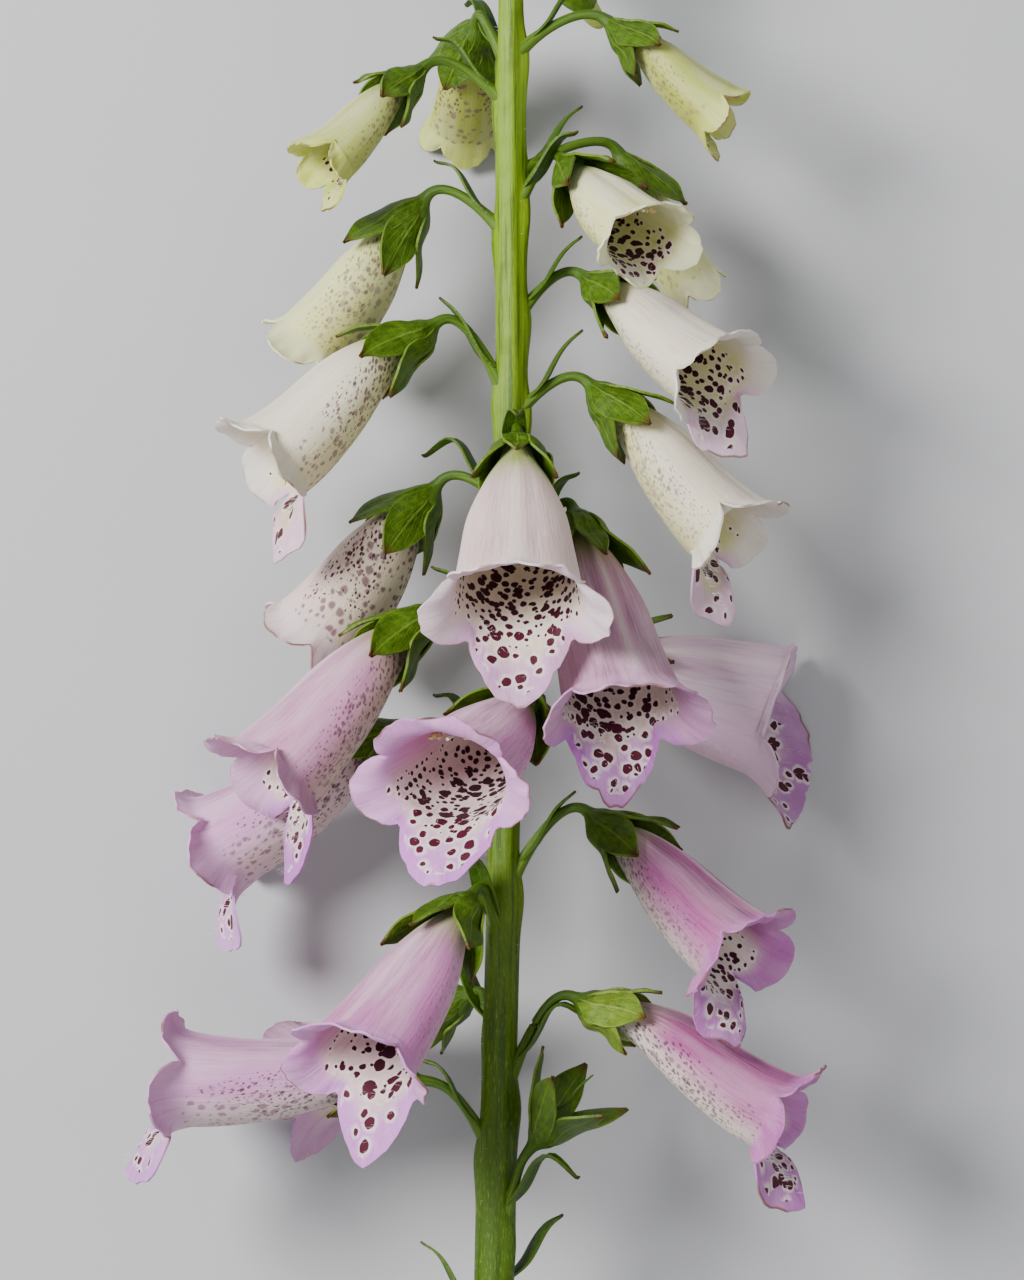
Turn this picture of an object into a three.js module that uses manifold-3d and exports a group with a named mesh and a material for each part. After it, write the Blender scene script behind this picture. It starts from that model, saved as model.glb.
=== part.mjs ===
// A cut foxglove flower spike, lying on its back on a flat surface, in millimetres and degrees.
// +Y runs up the stem to its tip, +Z is up from the surface and +X is to the stem's right, seen from above.
import * as THREE from "three";
import { mergeVertices } from "three/addons/utils/BufferGeometryUtils.js";
import Module from "manifold-3d";

const wasm = await Module();
wasm.setup();

// ---- Driving dimensions ----

const surfaceDrop = 38; // from the stem's centre line down to the surface
const boxCentre = { x: -7.6, y: 31.4 }; // the middle of the box that the spike fills, from the stem's own zero
const gap = 0.3; // between two pieces that touch
const petalThickness = 0.8;
const goldenAngle = 137.5; // between one bud and the next, round the stem

// The stem's centre line and radius, from the cut end to the tip.
const stemStations = [
  { x: -3.8, y: -152, radius: 4.1 },
  { x: -3.0, y: -120, radius: 3.8 },
  { x: -2.3, y: -88, radius: 3.5 },
  { x: -1.5, y: -48, radius: 3.2 },
  { x: -0.5, y: 0, radius: 3.05 },
  { x: 0.1, y: 48, radius: 2.9 },
  { x: 0.1, y: 108, radius: 2.7 },
  { x: 0.3, y: 150, radius: 2.1 },
  { x: 1.2, y: 185, radius: 1.4 },
  { x: 2.8, y: 214, radius: 0.7 },
];

// The open flowers, from the top of the spike down. at is the base of the bell, inside its calyx. heading
// turns the bell from straight down the stem towards +X, rise lifts its mouth off the surface and roll, where
// it is given, turns it about its own axis. flare is how far the lips curl out, droop is how many degrees the
// floor's lobe leans out, and rootY is where the flower stalk leaves the stem. Angles are in degrees.
const blooms = [
  { at: [-20, 111.6, 2], heading: -45, rise: 15, length: 31, girth: 1.05, flare: 0.25, droop: 5, rootY: 106 },
  { at: [-7, 122.4, -9], heading: -8, rise: -58, length: 38, girth: 0.85, flare: 0.1, droop: 5, rootY: 114 },
  { at: [22.4, 121, 2], heading: 50, rise: 5, length: 31, girth: 1.05, flare: 0.2, droop: 5, rootY: 116 },
  { at: [-19.4, 85.6, -4], heading: -38, rise: -12, roll: 15, length: 42, girth: 1.1, flare: 0.7, droop: 25,
    rootY: 80 },
  { at: [12.4, 93.6, 6], heading: 42, rise: 42, length: 35, girth: 1.1, flare: 0.75, droop: 20, rootY: 85 },
  { at: [23.6, 95, -8], heading: 30, rise: -15, length: 33, girth: 0.9, flare: 0.4, droop: 15, rootY: 92 },
  { at: [17.5, 70.6, 0], heading: 51, rise: 27, length: 42, girth: 1.08, flare: 1, droop: 35, rootY: 63 },
  { at: [-18, 60.4, 3], heading: -50, rise: 6, length: 50, girth: 1.02, flare: 0.95, droop: 45, rootY: 47 },
  { at: [18.6, 48.2, 1.3], heading: 43.5, rise: 6, length: 48, girth: 1.02, flare: 0.9, droop: 30, rootY: 44.5 },
  { at: [1.4, 37.6, 13], heading: 0, rise: 45, length: 54, girth: 0.97, flare: 0.95, droop: 38, rootY: 36 },
  { at: [-17.2, 28, -7], heading: -38, rise: -8, roll: 30, length: 43, girth: 1.12, flare: 0.8, droop: 20,
    rootY: 27 },
  { at: [13.4, 22.6, 6], heading: 14, rise: 33, length: 55, girth: 0.92, flare: 0.9, droop: 35, rootY: 14 },
  { at: [18, -4, -13.5], heading: 73, rise: -14, roll: 70, length: 48, girth: 1.25, flare: 0.6, droop: 2,
    rootY: -12 },
  { at: [-18, 3.6, 4], heading: -44, rise: 10, length: 55, girth: 1, flare: 1, droop: 45, rootY: -4 },
  { at: [-22.4, -19.6, -13], heading: -59, rise: -10, length: 54, girth: 1, flare: 1.2, droop: 45, rootY: -28 },
  { at: [2.6, -12, 16], heading: -46, rise: 58, length: 50, girth: 1.05, flare: 1.25, droop: 45, rootY: -20 },
  { at: [18.5, -37, 3], heading: 48, rise: 20, length: 49, girth: 0.96, flare: 1.25, droop: 45, rootY: -52 },
  { at: [-9.4, -53, 14], heading: -35, rise: 35, length: 52, girth: 0.95, flare: 1, droop: 42, rootY: -60 },
  { at: [-22, -88, 1], heading: -90, rise: -4, length: 56, girth: 0.92, flare: 1.3, droop: 60, rootY: -104 },
  { at: [16.8, -73.4, 3], heading: 60, rise: 8, length: 52, girth: 0.87, flare: 1.15, droop: 50, rootY: -94 },
  { at: [-11, -73, -8], heading: -60, rise: -33, length: 50, girth: 1, flare: 1, droop: 35, rootY: -80 },
];

// The flower at the bottom has dropped its bell: its calyx stands open on its stalk.
const spentBloom = { at: [7, -97.6, 6], heading: 140, rise: 10, length: 46, girth: 1, rootY: -121 };

// Shape of a bell, as shares of its length, or of its mouth's radius where it says so.
const bellShape = {
  throatAt: 0.74, // where the tube ends and the lips start
  mouthRadius: 0.235,
  flatness: 0.78, // height of the tube over its width
  belly: 0.02, // how far the middle of the tube hangs below its axis
  bellyFullness: 0.06,
  throatSlope: 10, // degrees by which the tube still widens at the throat
  collar: 0.05, // the least reach of the lip, between two lobes
  radii: [
    { u: 0, share: 0.27 }, // shares of the mouth's radius
    { u: 0.1, share: 0.38 },
    { u: 0.25, share: 0.58 },
    { u: 0.5, share: 0.78 },
    { u: 0.75, share: 0.89 },
    { u: 1, share: 1 },
  ],
};

// The five lobes of the lip, by the angle round the mouth from its roof: a pair above, a pair at the sides and
// one below. The higher the point, the more a lobe tapers.
const lipLobes = [
  { at: 24, half: 38, reach: 0.1, point: 0.6 },
  { at: 103, half: 38, reach: 0.14, point: 0.6 },
  { at: 180, half: 46, reach: 0.28, point: 0.95 },
];
const lipAngles = [0, 28, 52, 66, 84, 103, 122, 140, 160, 180, 200, 220, 238, 257, 276, 294, 308, 332];

const degrees = THREE.MathUtils.degToRad;
const lerp = THREE.MathUtils.lerp;

// ---- Solids ----

// A closed surface put together from rings of points, each ring anticlockwise as seen from where it grows to.
class Shell {
  points = [];
  faces = [];

  ring(points) {
    return points.map((point) => this.points.push(point) - 1);
  }

  // Four-sided bands between two rings, leaving out those that start at the listed corners.
  bridge(low, high, open = []) {
    low.forEach((_, j) => {
      if (open.includes(j)) return;
      const [a, b, c, d] = [low[j], low[(j + 1) % low.length], high[(j + 1) % low.length], high[j]];
      this.faces.push(a, b, c, a, c, d);
    });
  }

  point(ring, tip) {
    const [end] = this.ring([tip]);
    ring.forEach((corner, j) => this.faces.push(corner, ring[(j + 1) % ring.length], end));
  }

  cap(ring) {
    for (let j = 1; j + 1 < ring.length; j++) this.faces.push(ring[0], ring[j], ring[j + 1]);
  }

  capStart(ring) {
    this.cap([...ring].reverse());
  }

  // A shoot out of an opening: rings with as many corners as the opening has, and a point at its end.
  grow(opening, sections, tip) {
    let last = opening;
    sections.forEach((section) => {
      const next = this.ring(section);
      this.bridge(last, next);
      last = next;
    });
    this.point(last, tip);
  }

  // The finished geometry, with every face turned round if it encloses a negative volume.
  close() {
    const corner = (i) => this.points[this.faces[i]];
    let volume = 0;
    for (let i = 0; i < this.faces.length; i += 3) {
      volume += corner(i).dot(corner(i + 1).clone().cross(corner(i + 2)));
    }
    if (volume < 0) this.faces.reverse();
    const positions = this.points.flatMap((p) => [p.x, p.y, p.z]);
    return new THREE.BufferGeometry()
      .setAttribute("position", new THREE.Float32BufferAttribute(positions, 3))
      .setIndex(this.faces);
  }
}

// Joins rings of points into one closed surface, which ends in a point where tip is given.
function loft(rings, tip) {
  const shell = new Shell();
  const corners = rings.map((ring) => shell.ring(ring));
  shell.capStart(corners[0]);
  for (let i = 0; i + 1 < corners.length; i++) shell.bridge(corners[i], corners[i + 1]);
  const last = corners[corners.length - 1];
  if (tip) shell.point(last, tip);
  else shell.cap(last);
  return shell.close();
}

function toSolid(geometry) {
  const bare = geometry.clone();
  bare.deleteAttribute("normal");
  bare.deleteAttribute("uv");
  const merged = mergeVertices(bare, 1e-4);
  return new wasm.Manifold(
    new wasm.Mesh({
      numProp: 3,
      vertProperties: merged.attributes.position.array,
      triVerts: new Uint32Array(merged.index.array),
    }),
  );
}

function toGeometry(solid) {
  const mesh = solid.getMesh();
  return new THREE.BufferGeometry()
    .setAttribute("position", new THREE.BufferAttribute(mesh.vertProperties, 3))
    .setIndex(new THREE.BufferAttribute(mesh.triVerts, 1));
}

function fuse(geometries) {
  return geometries.map(toSolid).reduce((whole, piece) => whole.add(piece));
}

// The rings of a round rod with one radius for each point of its path. The first corner of each points the way
// of facing.
function rodRings(points, radii, sides, facing) {
  return points.map((point, i) => {
    const ahead = points[Math.min(i + 1, points.length - 1)];
    const behind = points[Math.max(i - 1, 0)];
    const along = ahead.clone().sub(behind).normalize();
    const side = facing.clone().addScaledVector(along, -facing.dot(along)).normalize();
    const up = along.clone().cross(side);
    return Array.from({ length: sides }, (_, j) => {
      const turn = (2 * Math.PI * j) / sides;
      return point
        .clone()
        .addScaledVector(side, radii[i] * Math.cos(turn))
        .addScaledVector(up, radii[i] * Math.sin(turn));
    });
  });
}

function rod(points, radii, sides, facing, tip) {
  return loft(rodRings(points, radii, sides, facing), tip);
}

// A thin pointed blade with a keel along its back. Each station has the middle of the blade, its width and the
// way across it, and keel is the way that its back faces.
function blade(stations, tip, thickness, keel) {
  const rings = stations.map(({ middle, width, across }) => [
    middle.clone().addScaledVector(across, -width / 2),
    middle.clone().addScaledVector(across, width / 2),
    middle.clone().addScaledVector(keel, thickness),
  ]);
  return loft(rings, tip);
}

// ---- Places ----

// The point on the stem's centre line, and its radius, at a distance along it.
function stemAt(y) {
  const next = Math.max(1, stemStations.findIndex((s) => s.y >= y));
  const [low, high] = [stemStations[next - 1], stemStations[next]];
  const share = (y - low.y) / (high.y - low.y);
  const point = new THREE.Vector3(lerp(low.x, high.x, share), y, 0);
  return { point, radius: lerp(low.radius, high.radius, share) };
}

// A bell's own directions: out along its axis, up through its roof, and across.
function bellAxes(bloom) {
  const [heading, rise] = [degrees(bloom.heading), degrees(bloom.rise)];
  const out = new THREE.Vector3(
    Math.sin(heading) * Math.cos(rise),
    -Math.cos(heading) * Math.cos(rise),
    Math.sin(rise),
  );
  const roof = new THREE.Vector3(0, 1, 0).addScaledVector(out, -out.y).normalize();
  roof.applyAxisAngle(out, degrees(bloom.roll ?? 0));
  return { origin: new THREE.Vector3(...bloom.at), out, roof, across: out.clone().cross(roof) };
}

function placed(axes, along, up, side) {
  return axes.origin
    .clone()
    .addScaledVector(axes.out, along)
    .addScaledVector(axes.roof, up)
    .addScaledVector(axes.across, side);
}

// ---- Bells ----

function radiusShare(u) {
  const next = Math.max(1, bellShape.radii.findIndex((r) => r.u >= u));
  const [low, high] = [bellShape.radii[next - 1], bellShape.radii[next]];
  return lerp(low.share, high.share, (u - low.u) / (high.u - low.u));
}

// Angle from the roof, 0 to 180, whichever way round.
function fromRoof(angle) {
  return Math.abs(((angle + 180) % 360) - 180);
}

function lipReach(angle) {
  const reaches = lipLobes.map(({ at, half, reach, point }) => {
    const off = Math.abs(fromRoof(angle) - at) / half;
    return off < 1 ? reach * Math.pow(1 - off * off, point) : 0;
  });
  return bellShape.collar + Math.max(...reaches);
}

// Degrees by which the edge of the lip leans out: its flare at the roof and sides, its droop at the floor.
function lipLean(bloom, angle) {
  const floorward = THREE.MathUtils.smoothstep(fromRoof(angle), 110, 170);
  return lerp(66 * bloom.flare, bloom.droop, floorward);
}

// A point of the bell's skin. u runs from 0 at the base to 1 at the throat and 2 at the edge of the lip.
function skinPoint(bloom, u, angle, inset) {
  const turn = degrees(angle);
  const tubeLength = bellShape.throatAt * bloom.length;
  const mouth = bellShape.mouthRadius * bloom.length * bloom.girth;
  const along = Math.min(u, 1);
  const hang = Math.sin(Math.PI * along);
  const floorward = (1 - Math.cos(turn)) / 2;
  const radius = mouth * radiusShare(along) * (1 + bellShape.bellyFullness * hang * floorward);
  let reach = tubeLength * along;
  let spread = radius;
  if (u <= 1) {
    spread -= inset;
  } else {
    const start = degrees(bellShape.throatSlope);
    const turned = degrees(lipLean(bloom, angle)) * (u - 1);
    const size = lipReach(angle) * bloom.length * (u - 1);
    const now = start + turned;
    const bend = Math.abs(turned) < 1e-3 ? 1e-3 : turned;
    reach += (size * (Math.sin(start + bend) - Math.sin(start))) / bend + inset * Math.sin(now);
    spread += (size * (Math.cos(start) - Math.cos(start + bend))) / bend - inset * Math.cos(now);
  }
  const sag = bellShape.belly * bloom.length * hang;
  return { reach, up: spread * Math.cos(turn) * bellShape.flatness - sag, side: spread * Math.sin(turn) };
}

// The point in space. Where either face of the petal would go below the surface, both are lifted to lie on it.
function bellPoint(bloom, axes, u, angle, inset) {
  const at = (depth) => {
    const { reach, up, side } = skinPoint(bloom, u, angle, depth);
    return placed(axes, reach, up, side);
  };
  const lowest = Math.min(at(0).z, at(petalThickness).z);
  const point = at(inset);
  point.z += Math.max(0, -surfaceDrop - lowest);
  return point;
}

function bellRing(bloom, axes, u, inset) {
  return lipAngles.map((angle) => bellPoint(bloom, axes, u, angle, inset));
}

// The bell is one skin folded back on itself at the edge of the lip, so its outside and inside are one loft.
function corolla(bloom) {
  const axes = bellAxes(bloom);
  const outside = [0, 0.18, 0.5, 1, 1.5, 2].map((u) => bellRing(bloom, axes, u, 0));
  const inside = [2, 1.5, 1, 0.15].map((u) => bellRing(bloom, axes, u, petalThickness));
  return loft([...outside, ...inside]);
}

// ---- Calyx, stalk and bract ----

const calyxShape = {
  cupLength: 4.2,
  cupRadius: 4.9,
  sepalLength: 14.5,
  sepalWidth: 8.8,
  narrowSepalWidth: 5,
  bladeThickness: 0.8,
  stalkRadius: 1.15,
  bractLength: 19,
  bractWidth: 4.8,
};

// Leaf-like parts grow less than the bell does, so on a short bell they are nearly full size.
function leafScale(bloom) {
  return 0.5 + bloom.length / 108;
}

// The sections of a sepal, which lies along the tube just clear of it, and its tip. angle is its place round
// the tube from the roof. A section is its outer edge from left to right and then its inner edge back.
function sepal(bloom, axes, angle, width, open) {
  const scale = leafScale(bloom);
  const length = calyxShape.sepalLength * scale;
  const tubeLength = bellShape.throatAt * bloom.length;
  const neck = bellShape.mouthRadius * bloom.length * bloom.girth;
  const at = (along, away, aside) => {
    const u = along / tubeLength;
    const turn = angle + THREE.MathUtils.radToDeg(aside / (neck * radiusShare(u) + away));
    const { reach, up, side } = skinPoint(bloom, u, turn, -away);
    return placed(axes, reach, up, side);
  };
  const steps = [
    { along: 0.34 * length, away: 1.7 + open * 1.2, share: 1 },
    { along: 0.68 * length, away: 1.7 + open * 3.2, share: 0.74 },
  ];
  const sections = steps.map(({ along, away, share }) => {
    const spread = neck * radiusShare(along / tubeLength) + away;
    const half = (Math.min(width * scale, 1.16 * spread) * share) / 2;
    const outside = away + calyxShape.bladeThickness;
    const outer = [at(along, outside, -half), at(along, outside, half)];
    return [...outer, at(along, away, half), at(along, away, -half)];
  });
  return { sections, tip: at(length, 1.7 + open * 5.5, 0) };
}

// The stalk leaves the stem steeply, arches over and meets the calyx in line with the bell.
function stalkCurve(bloom, axes) {
  const root = stemAt(bloom.rootY);
  const end = placed(axes, -calyxShape.cupLength, 0, 0);
  const outward = end.clone().sub(root.point).setY(0).normalize();
  const lift = Math.max(4, 0.75 * (end.y - bloom.rootY));
  const first = root.point.clone().addScaledVector(outward, root.radius + 3).add(new THREE.Vector3(0, lift, 0));
  const second = end.clone().addScaledVector(axes.out, -6);
  return new THREE.CubicBezierCurve3(root.point, first, second, end);
}

// A bract grows from the foot of each stalk and leans out below it.
function bract(bloom, axes, foot) {
  const length = calyxShape.bractLength * leafScale(bloom);
  const outward = axes.origin.clone().sub(foot).setY(0).normalize();
  const sideways = new THREE.Vector3(0, 1, 0).cross(outward);
  const at = (out, up) => foot.clone().addScaledVector(outward, out).add(new THREE.Vector3(0, up * length, 0));
  const steps = [
    { out: -0.4, up: 0, width: 0.5 },
    { out: 3, up: 0.2, width: 1 },
    { out: 6.5, up: 0.55, width: 0.8 },
  ];
  const stations = steps.map(({ out, up, width }) => ({
    middle: at(out, up),
    width: calyxShape.bractWidth * leafScale(bloom) * width,
    across: sideways,
  }));
  const keel = outward.clone().multiplyScalar(0.8).add(new THREE.Vector3(0, -0.6, 0));
  return blade(stations, at(10, 0.8), calyxShape.bladeThickness, keel);
}

// The stalk widens into a five-sided cup, and a sepal grows out of each side of the cup.
function calyx(bloom, open, seat) {
  const axes = bellAxes(bloom);
  const scale = leafScale(bloom);
  const curve = stalkCurve(bloom, axes);
  const stalk = [0, 0.3, 0.6, 0.85, 1].map((t) => curve.getPoint(t));
  const stalkRadii = [1.5, 1.15, 1, 1, 1.15].map((share) => share * calyxShape.stalkRadius);
  const cupRing = (along, radius) =>
    [-36, 36, 108, 180, -108].map((angle) => {
      const turn = degrees(angle);
      return placed(axes, along, radius * Math.cos(turn), radius * Math.sin(turn));
    });
  const stalkFacing = cupRing(0, 1)[0].sub(axes.origin);

  const shell = new Shell();
  const rings = rodRings(stalk, stalkRadii, 5, stalkFacing).map((ring) => shell.ring(ring));
  const low = shell.ring(cupRing(-0.6 * calyxShape.cupLength, 0.8 * calyxShape.cupRadius * scale));
  const high = shell.ring(cupRing(-gap, calyxShape.cupRadius * scale));
  shell.capStart(rings[0]);
  [...rings, low].slice(1).forEach((ring, i) => shell.bridge(rings[i], ring));
  [0, 72, 144, -144, -72].forEach((angle, j) => {
    const width = angle === 0 ? calyxShape.narrowSepalWidth : calyxShape.sepalWidth;
    const { sections, tip } = sepal(bloom, axes, angle, width, open);
    const next = (j + 1) % 5;
    shell.grow([low[j], low[next], high[next], high[j]], sections, tip);
  });
  shell.cap(high);
  return toSolid(shell.close()).add(toSolid(bract(bloom, axes, curve.getPoint(0.2)))).subtract(seat);
}

// ---- Stamens and pistil ----

const stamenShape = {
  baseRadius: 2.4,
  baseLength: 2.4,
  filamentRadius: 0.45,
  antherRadius: 1.1,
  antherLength: 3.4,
};

// The four anthers and the stigma: how far aside each ends, the share of the tube where it ends, and how far
// above the middle of the ovary it starts.
const stamenTips = [
  { aside: -4, u: 0.86, startUp: 0 },
  { aside: 4, u: 0.86, startUp: 0 },
  { aside: -2.2, u: 0.64, startUp: -1.1 },
  { aside: 2.2, u: 0.64, startUp: -1.1 },
  { aside: 0, u: 0.95, startUp: 0.9 },
];

// Four stamens and the style rise from the top of the ovary and run out under the roof of the bell.
function stamens(bloom) {
  const axes = bellAxes(bloom);
  const scale = bloom.length / 54;
  const tube = bellShape.throatAt * bloom.length;
  const mouth = bellShape.mouthRadius * bloom.length * bloom.girth;
  const hang = (u) => bellShape.belly * bloom.length * Math.sin(Math.PI * u);
  const floor = 0.15 * tube + gap + 0.1;
  const top = floor + stamenShape.baseLength;
  const underRoof = (u) => mouth * radiusShare(u) * bellShape.flatness - hang(u) - 2.6;
  const ovary = rod(
    [placed(axes, floor, -hang(0.15), 0), placed(axes, top, -hang(0.15), 0)],
    [stamenShape.baseRadius * scale, stamenShape.baseRadius * scale],
    5,
    axes.roof,
  );
  const threads = stamenTips.map(({ aside, u, startUp }) => {
    const thin = stamenShape.filamentRadius;
    const start = placed(axes, top - 1, startUp * scale - hang(0.15), 0.35 * aside * scale);
    const midway = underRoof(0.5 * u + 0.12) + 0.5 * startUp;
    const middle = placed(axes, lerp(top, u * tube, 0.5), midway, 0.75 * aside * scale);
    const tip = placed(axes, u * tube, underRoof(u), aside * scale);
    if (aside === 0) return rod([start, middle, tip], [thin, thin, thin], 3, axes.roof);
    const back = tip.clone().addScaledVector(axes.out, -0.5 * stamenShape.antherLength);
    const end = tip.clone().addScaledVector(axes.out, 0.5 * stamenShape.antherLength);
    return rod([start, middle, back, tip], [thin, thin, thin, stamenShape.antherRadius], 3, axes.roof, end);
  });
  return fuse([ovary, ...threads]);
}

// ---- Stem, buds and lower bracts ----

const budRule = {
  count: 18,
  turn: -42, // of the first bud round the stem, from +X towards +Z
  firstY: 135,
  lastY: 211,
  firstLength: 19,
  lastLength: 4.5,
  plumpness: 0.24, // radius over length
};

const stemSides = 12;

function stemRing(y, extra) {
  const { point, radius } = stemAt(y);
  return Array.from({ length: stemSides }, (_, j) => {
    const turn = (2 * Math.PI * j) / stemSides;
    const reach = radius + extra;
    return new THREE.Vector3(point.x + reach * Math.cos(turn), y, -reach * Math.sin(turn));
  });
}

// The space that the stem takes up, with the gap that the stalks keep to it.
function stemSeat() {
  return toSolid(loft(stemStations.map((s) => stemRing(s.y, gap))));
}

// A shoot takes up some of the stem's sides, from half below its height to half above it.
function shoot(y, half, turn, span, shape) {
  const middle = -turn / (360 / stemSides);
  const first = Math.round(middle - span / 2);
  const sides = Array.from({ length: span }, (_, i) => (((first + i) % stemSides) + stemSides) % stemSides);
  const { point, radius } = stemAt(y);
  const facing = -degrees(((first + span / 2) * 360) / stemSides);
  const outward = new THREE.Vector3(Math.cos(facing), 0, Math.sin(facing));
  return { y, half, sides, ...shape(point.clone().addScaledVector(outward, radius), outward) };
}

// A closed bud nods on a short stalk: a pointed egg with six sides.
function bud(index) {
  const share = index / (budRule.count - 1);
  const y = lerp(budRule.firstY, budRule.lastY, Math.pow(share, 0.8));
  const length = lerp(budRule.firstLength, budRule.lastLength, Math.pow(share, 0.7));
  const stalkRadius = 0.34 * budRule.plumpness * length;
  return shoot(y, stalkRadius, goldenAngle * index + budRule.turn, 2, (root, outward) => {
    const nod = new THREE.Vector3(0, lerp(-0.9, 0.7, share), 0);
    const along = outward.clone().multiplyScalar(0.8).add(nod).normalize();
    const foot = root.clone().addScaledVector(outward, 0.28 * length);
    foot.y += 0.22 * length;
    const body = [0, 0.3, 0.65].map((t) => foot.clone().addScaledVector(along, t * length));
    const radii = [0.34, 0.5, 1, 0.75].map((part) => part * budRule.plumpness * length);
    const left = new THREE.Vector3(0, 1, 0).cross(outward).multiplyScalar(-0.87);
    const facing = left.add(new THREE.Vector3(0, -0.5, 0));
    return {
      sections: rodRings([root, ...body], radii, 6, facing).slice(1),
      tip: foot.clone().addScaledVector(along, length),
    };
  });
}

// Two bracts near the cut end, whose flowers have fallen.
const lowerBracts = [
  { y: -134, turn: 169, length: 18 },
  { y: -128, turn: -20, length: 16 },
];

function lowerBract({ y, turn, length }) {
  return shoot(y, 0.8, turn, 1, (root, outward) => {
    const right = outward.clone().cross(new THREE.Vector3(0, -1, 0));
    const steps = [
      { out: 0.12, up: 0.2, width: 0.16 },
      { out: 0.28, up: 0.55, width: 0.13 },
    ];
    const at = (out, up) => root.clone().addScaledVector(outward, out * length).setY(y + up * length);
    const sections = steps.map(({ out, up, width }) => {
      const edge = (side, depth) =>
        at(out, up).addScaledVector(right, side * width * length).addScaledVector(outward, depth);
      const inner = -calyxShape.bladeThickness;
      return [edge(-1, 0), edge(1, 0), edge(1, inner), edge(-1, inner)];
    });
    return { sections, tip: at(0.5, 0.8) };
  });
}

function stem() {
  const buds = Array.from({ length: budRule.count }, (_, i) => bud(i));
  const shoots = [...buds, ...lowerBracts.map(lowerBract)];
  const clear = stemStations.filter((s) => shoots.every(({ y, half }) => Math.abs(s.y - y) > half + 0.5));
  const levels = [...clear, ...shoots.flatMap((it) => [{ y: it.y - it.half, it }, { y: it.y + it.half }])];
  levels.sort((a, b) => a.y - b.y);

  const shell = new Shell();
  const rings = levels.map((level) => shell.ring(stemRing(level.y, 0)));
  shell.capStart(rings[0]);
  levels.slice(1).forEach((_, i) => {
    const [low, high, { it }] = [rings[i], rings[i + 1], levels[i]];
    shell.bridge(low, high, it ? it.sides : []);
    if (!it) return;
    const corners = [...it.sides, (it.sides[it.sides.length - 1] + 1) % stemSides];
    const opening = [...corners.map((j) => low[j]), ...corners.reverse().map((j) => high[j])];
    shell.grow(opening, it.sections, it.tip);
  });
  shell.cap(rings[rings.length - 1]);
  return shell.close();
}

// ---- The whole spike ----

const petalColours = [
  { y: -90, colour: 0xc79cc6 },
  { y: 0, colour: 0xd0abc8 },
  { y: 45, colour: 0xe2d8d2 },
  { y: 125, colour: 0xd6d9a0 },
];

function petalMaterial(y) {
  const next = Math.max(1, petalColours.findIndex((c) => c.y >= y));
  const [low, high] = [petalColours[next - 1], petalColours[next]];
  const share = THREE.MathUtils.clamp((y - low.y) / (high.y - low.y), 0, 1);
  const color = new THREE.Color(low.colour).lerp(new THREE.Color(high.colour), share);
  return new THREE.MeshStandardMaterial({ color, roughness: 0.6, metalness: 0 });
}

const stemGreen = new THREE.MeshStandardMaterial({ color: 0x8fae4a, roughness: 0.55, metalness: 0 });
const leafGreen = new THREE.MeshStandardMaterial({ color: 0x4f7a20, roughness: 0.55, metalness: 0 });
const stamenCream = new THREE.MeshStandardMaterial({ color: 0xe8dca0, roughness: 0.7, metalness: 0 });

const spike = new THREE.Group();
const seat = stemSeat();

function addNode(name, geometry, material) {
  const mesh = new THREE.Mesh(geometry, material);
  mesh.name = name;
  spike.add(mesh);
}

addNode("stem", stem(), stemGreen);
const withStamens = [5, 7, 8, 9, 10, 12, 13, 14, 15, 16, 17, 18, 19, 20];
blooms.forEach((bloom, i) => {
  const number = String(i + 1).padStart(2, "0");
  addNode(`corolla_${number}`, corolla(bloom), petalMaterial(bloom.at[1]));
  addNode(`calyx_${number}`, toGeometry(calyx(bloom, 0.4, seat)), leafGreen);
  if (withStamens.includes(i + 1)) addNode(`stamens_${number}`, toGeometry(stamens(bloom)), stamenCream);
});
addNode("calyx_22", toGeometry(calyx(spentBloom, 1, seat)), leafGreen);

spike.position.set(-boxCentre.x, -boxCentre.y, surfaceDrop);

export default spike;
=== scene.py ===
# A cut foxglove spike lying on a pale table: fine petals, sepals, stem, buds and hairs over the solids.
import bpy
import math
import random
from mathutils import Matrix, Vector, noise


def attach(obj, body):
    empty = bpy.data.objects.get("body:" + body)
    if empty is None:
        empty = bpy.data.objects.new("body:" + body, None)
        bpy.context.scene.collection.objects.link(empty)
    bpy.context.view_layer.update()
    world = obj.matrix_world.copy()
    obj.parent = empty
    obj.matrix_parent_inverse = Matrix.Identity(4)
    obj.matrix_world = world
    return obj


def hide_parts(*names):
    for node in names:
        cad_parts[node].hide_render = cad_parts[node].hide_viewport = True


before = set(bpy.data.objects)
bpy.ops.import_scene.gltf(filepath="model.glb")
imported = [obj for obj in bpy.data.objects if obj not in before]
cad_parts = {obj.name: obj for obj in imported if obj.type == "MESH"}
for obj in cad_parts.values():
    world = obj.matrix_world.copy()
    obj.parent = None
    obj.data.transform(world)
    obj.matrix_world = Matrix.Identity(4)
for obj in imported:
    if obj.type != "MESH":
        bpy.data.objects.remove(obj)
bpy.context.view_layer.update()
bpy.ops.object.select_all(action="DESELECT")

# ---- the table, the lights and the camera ----

studio = {
    "cameraAt": (0.0080, -0.0314, 0.938),
    "lens": 126.6,
    "sensorWidth": 36,
    "floorSize": 6,
    "floorAt": -0.0002,  # just under the lowest petal
    "floorColour": (0.52, 0.52, 0.53, 1),
    "skyColour": (0.80, 0.84, 0.90, 1),
    "skyStrength": 0.35,
    "lamps": [  # place, aim, size, watts
        ((-0.76, 0.34, 0.92), (0, 0, 0), 0.55, 26.5),
        ((0.85, 0.20, 0.90), (0, 0, 0), 0.9, 2.2),
        ((0.00, -0.65, 1.05), (0, -0.05, 0), 0.7, 2.8),
    ],
}


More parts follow.
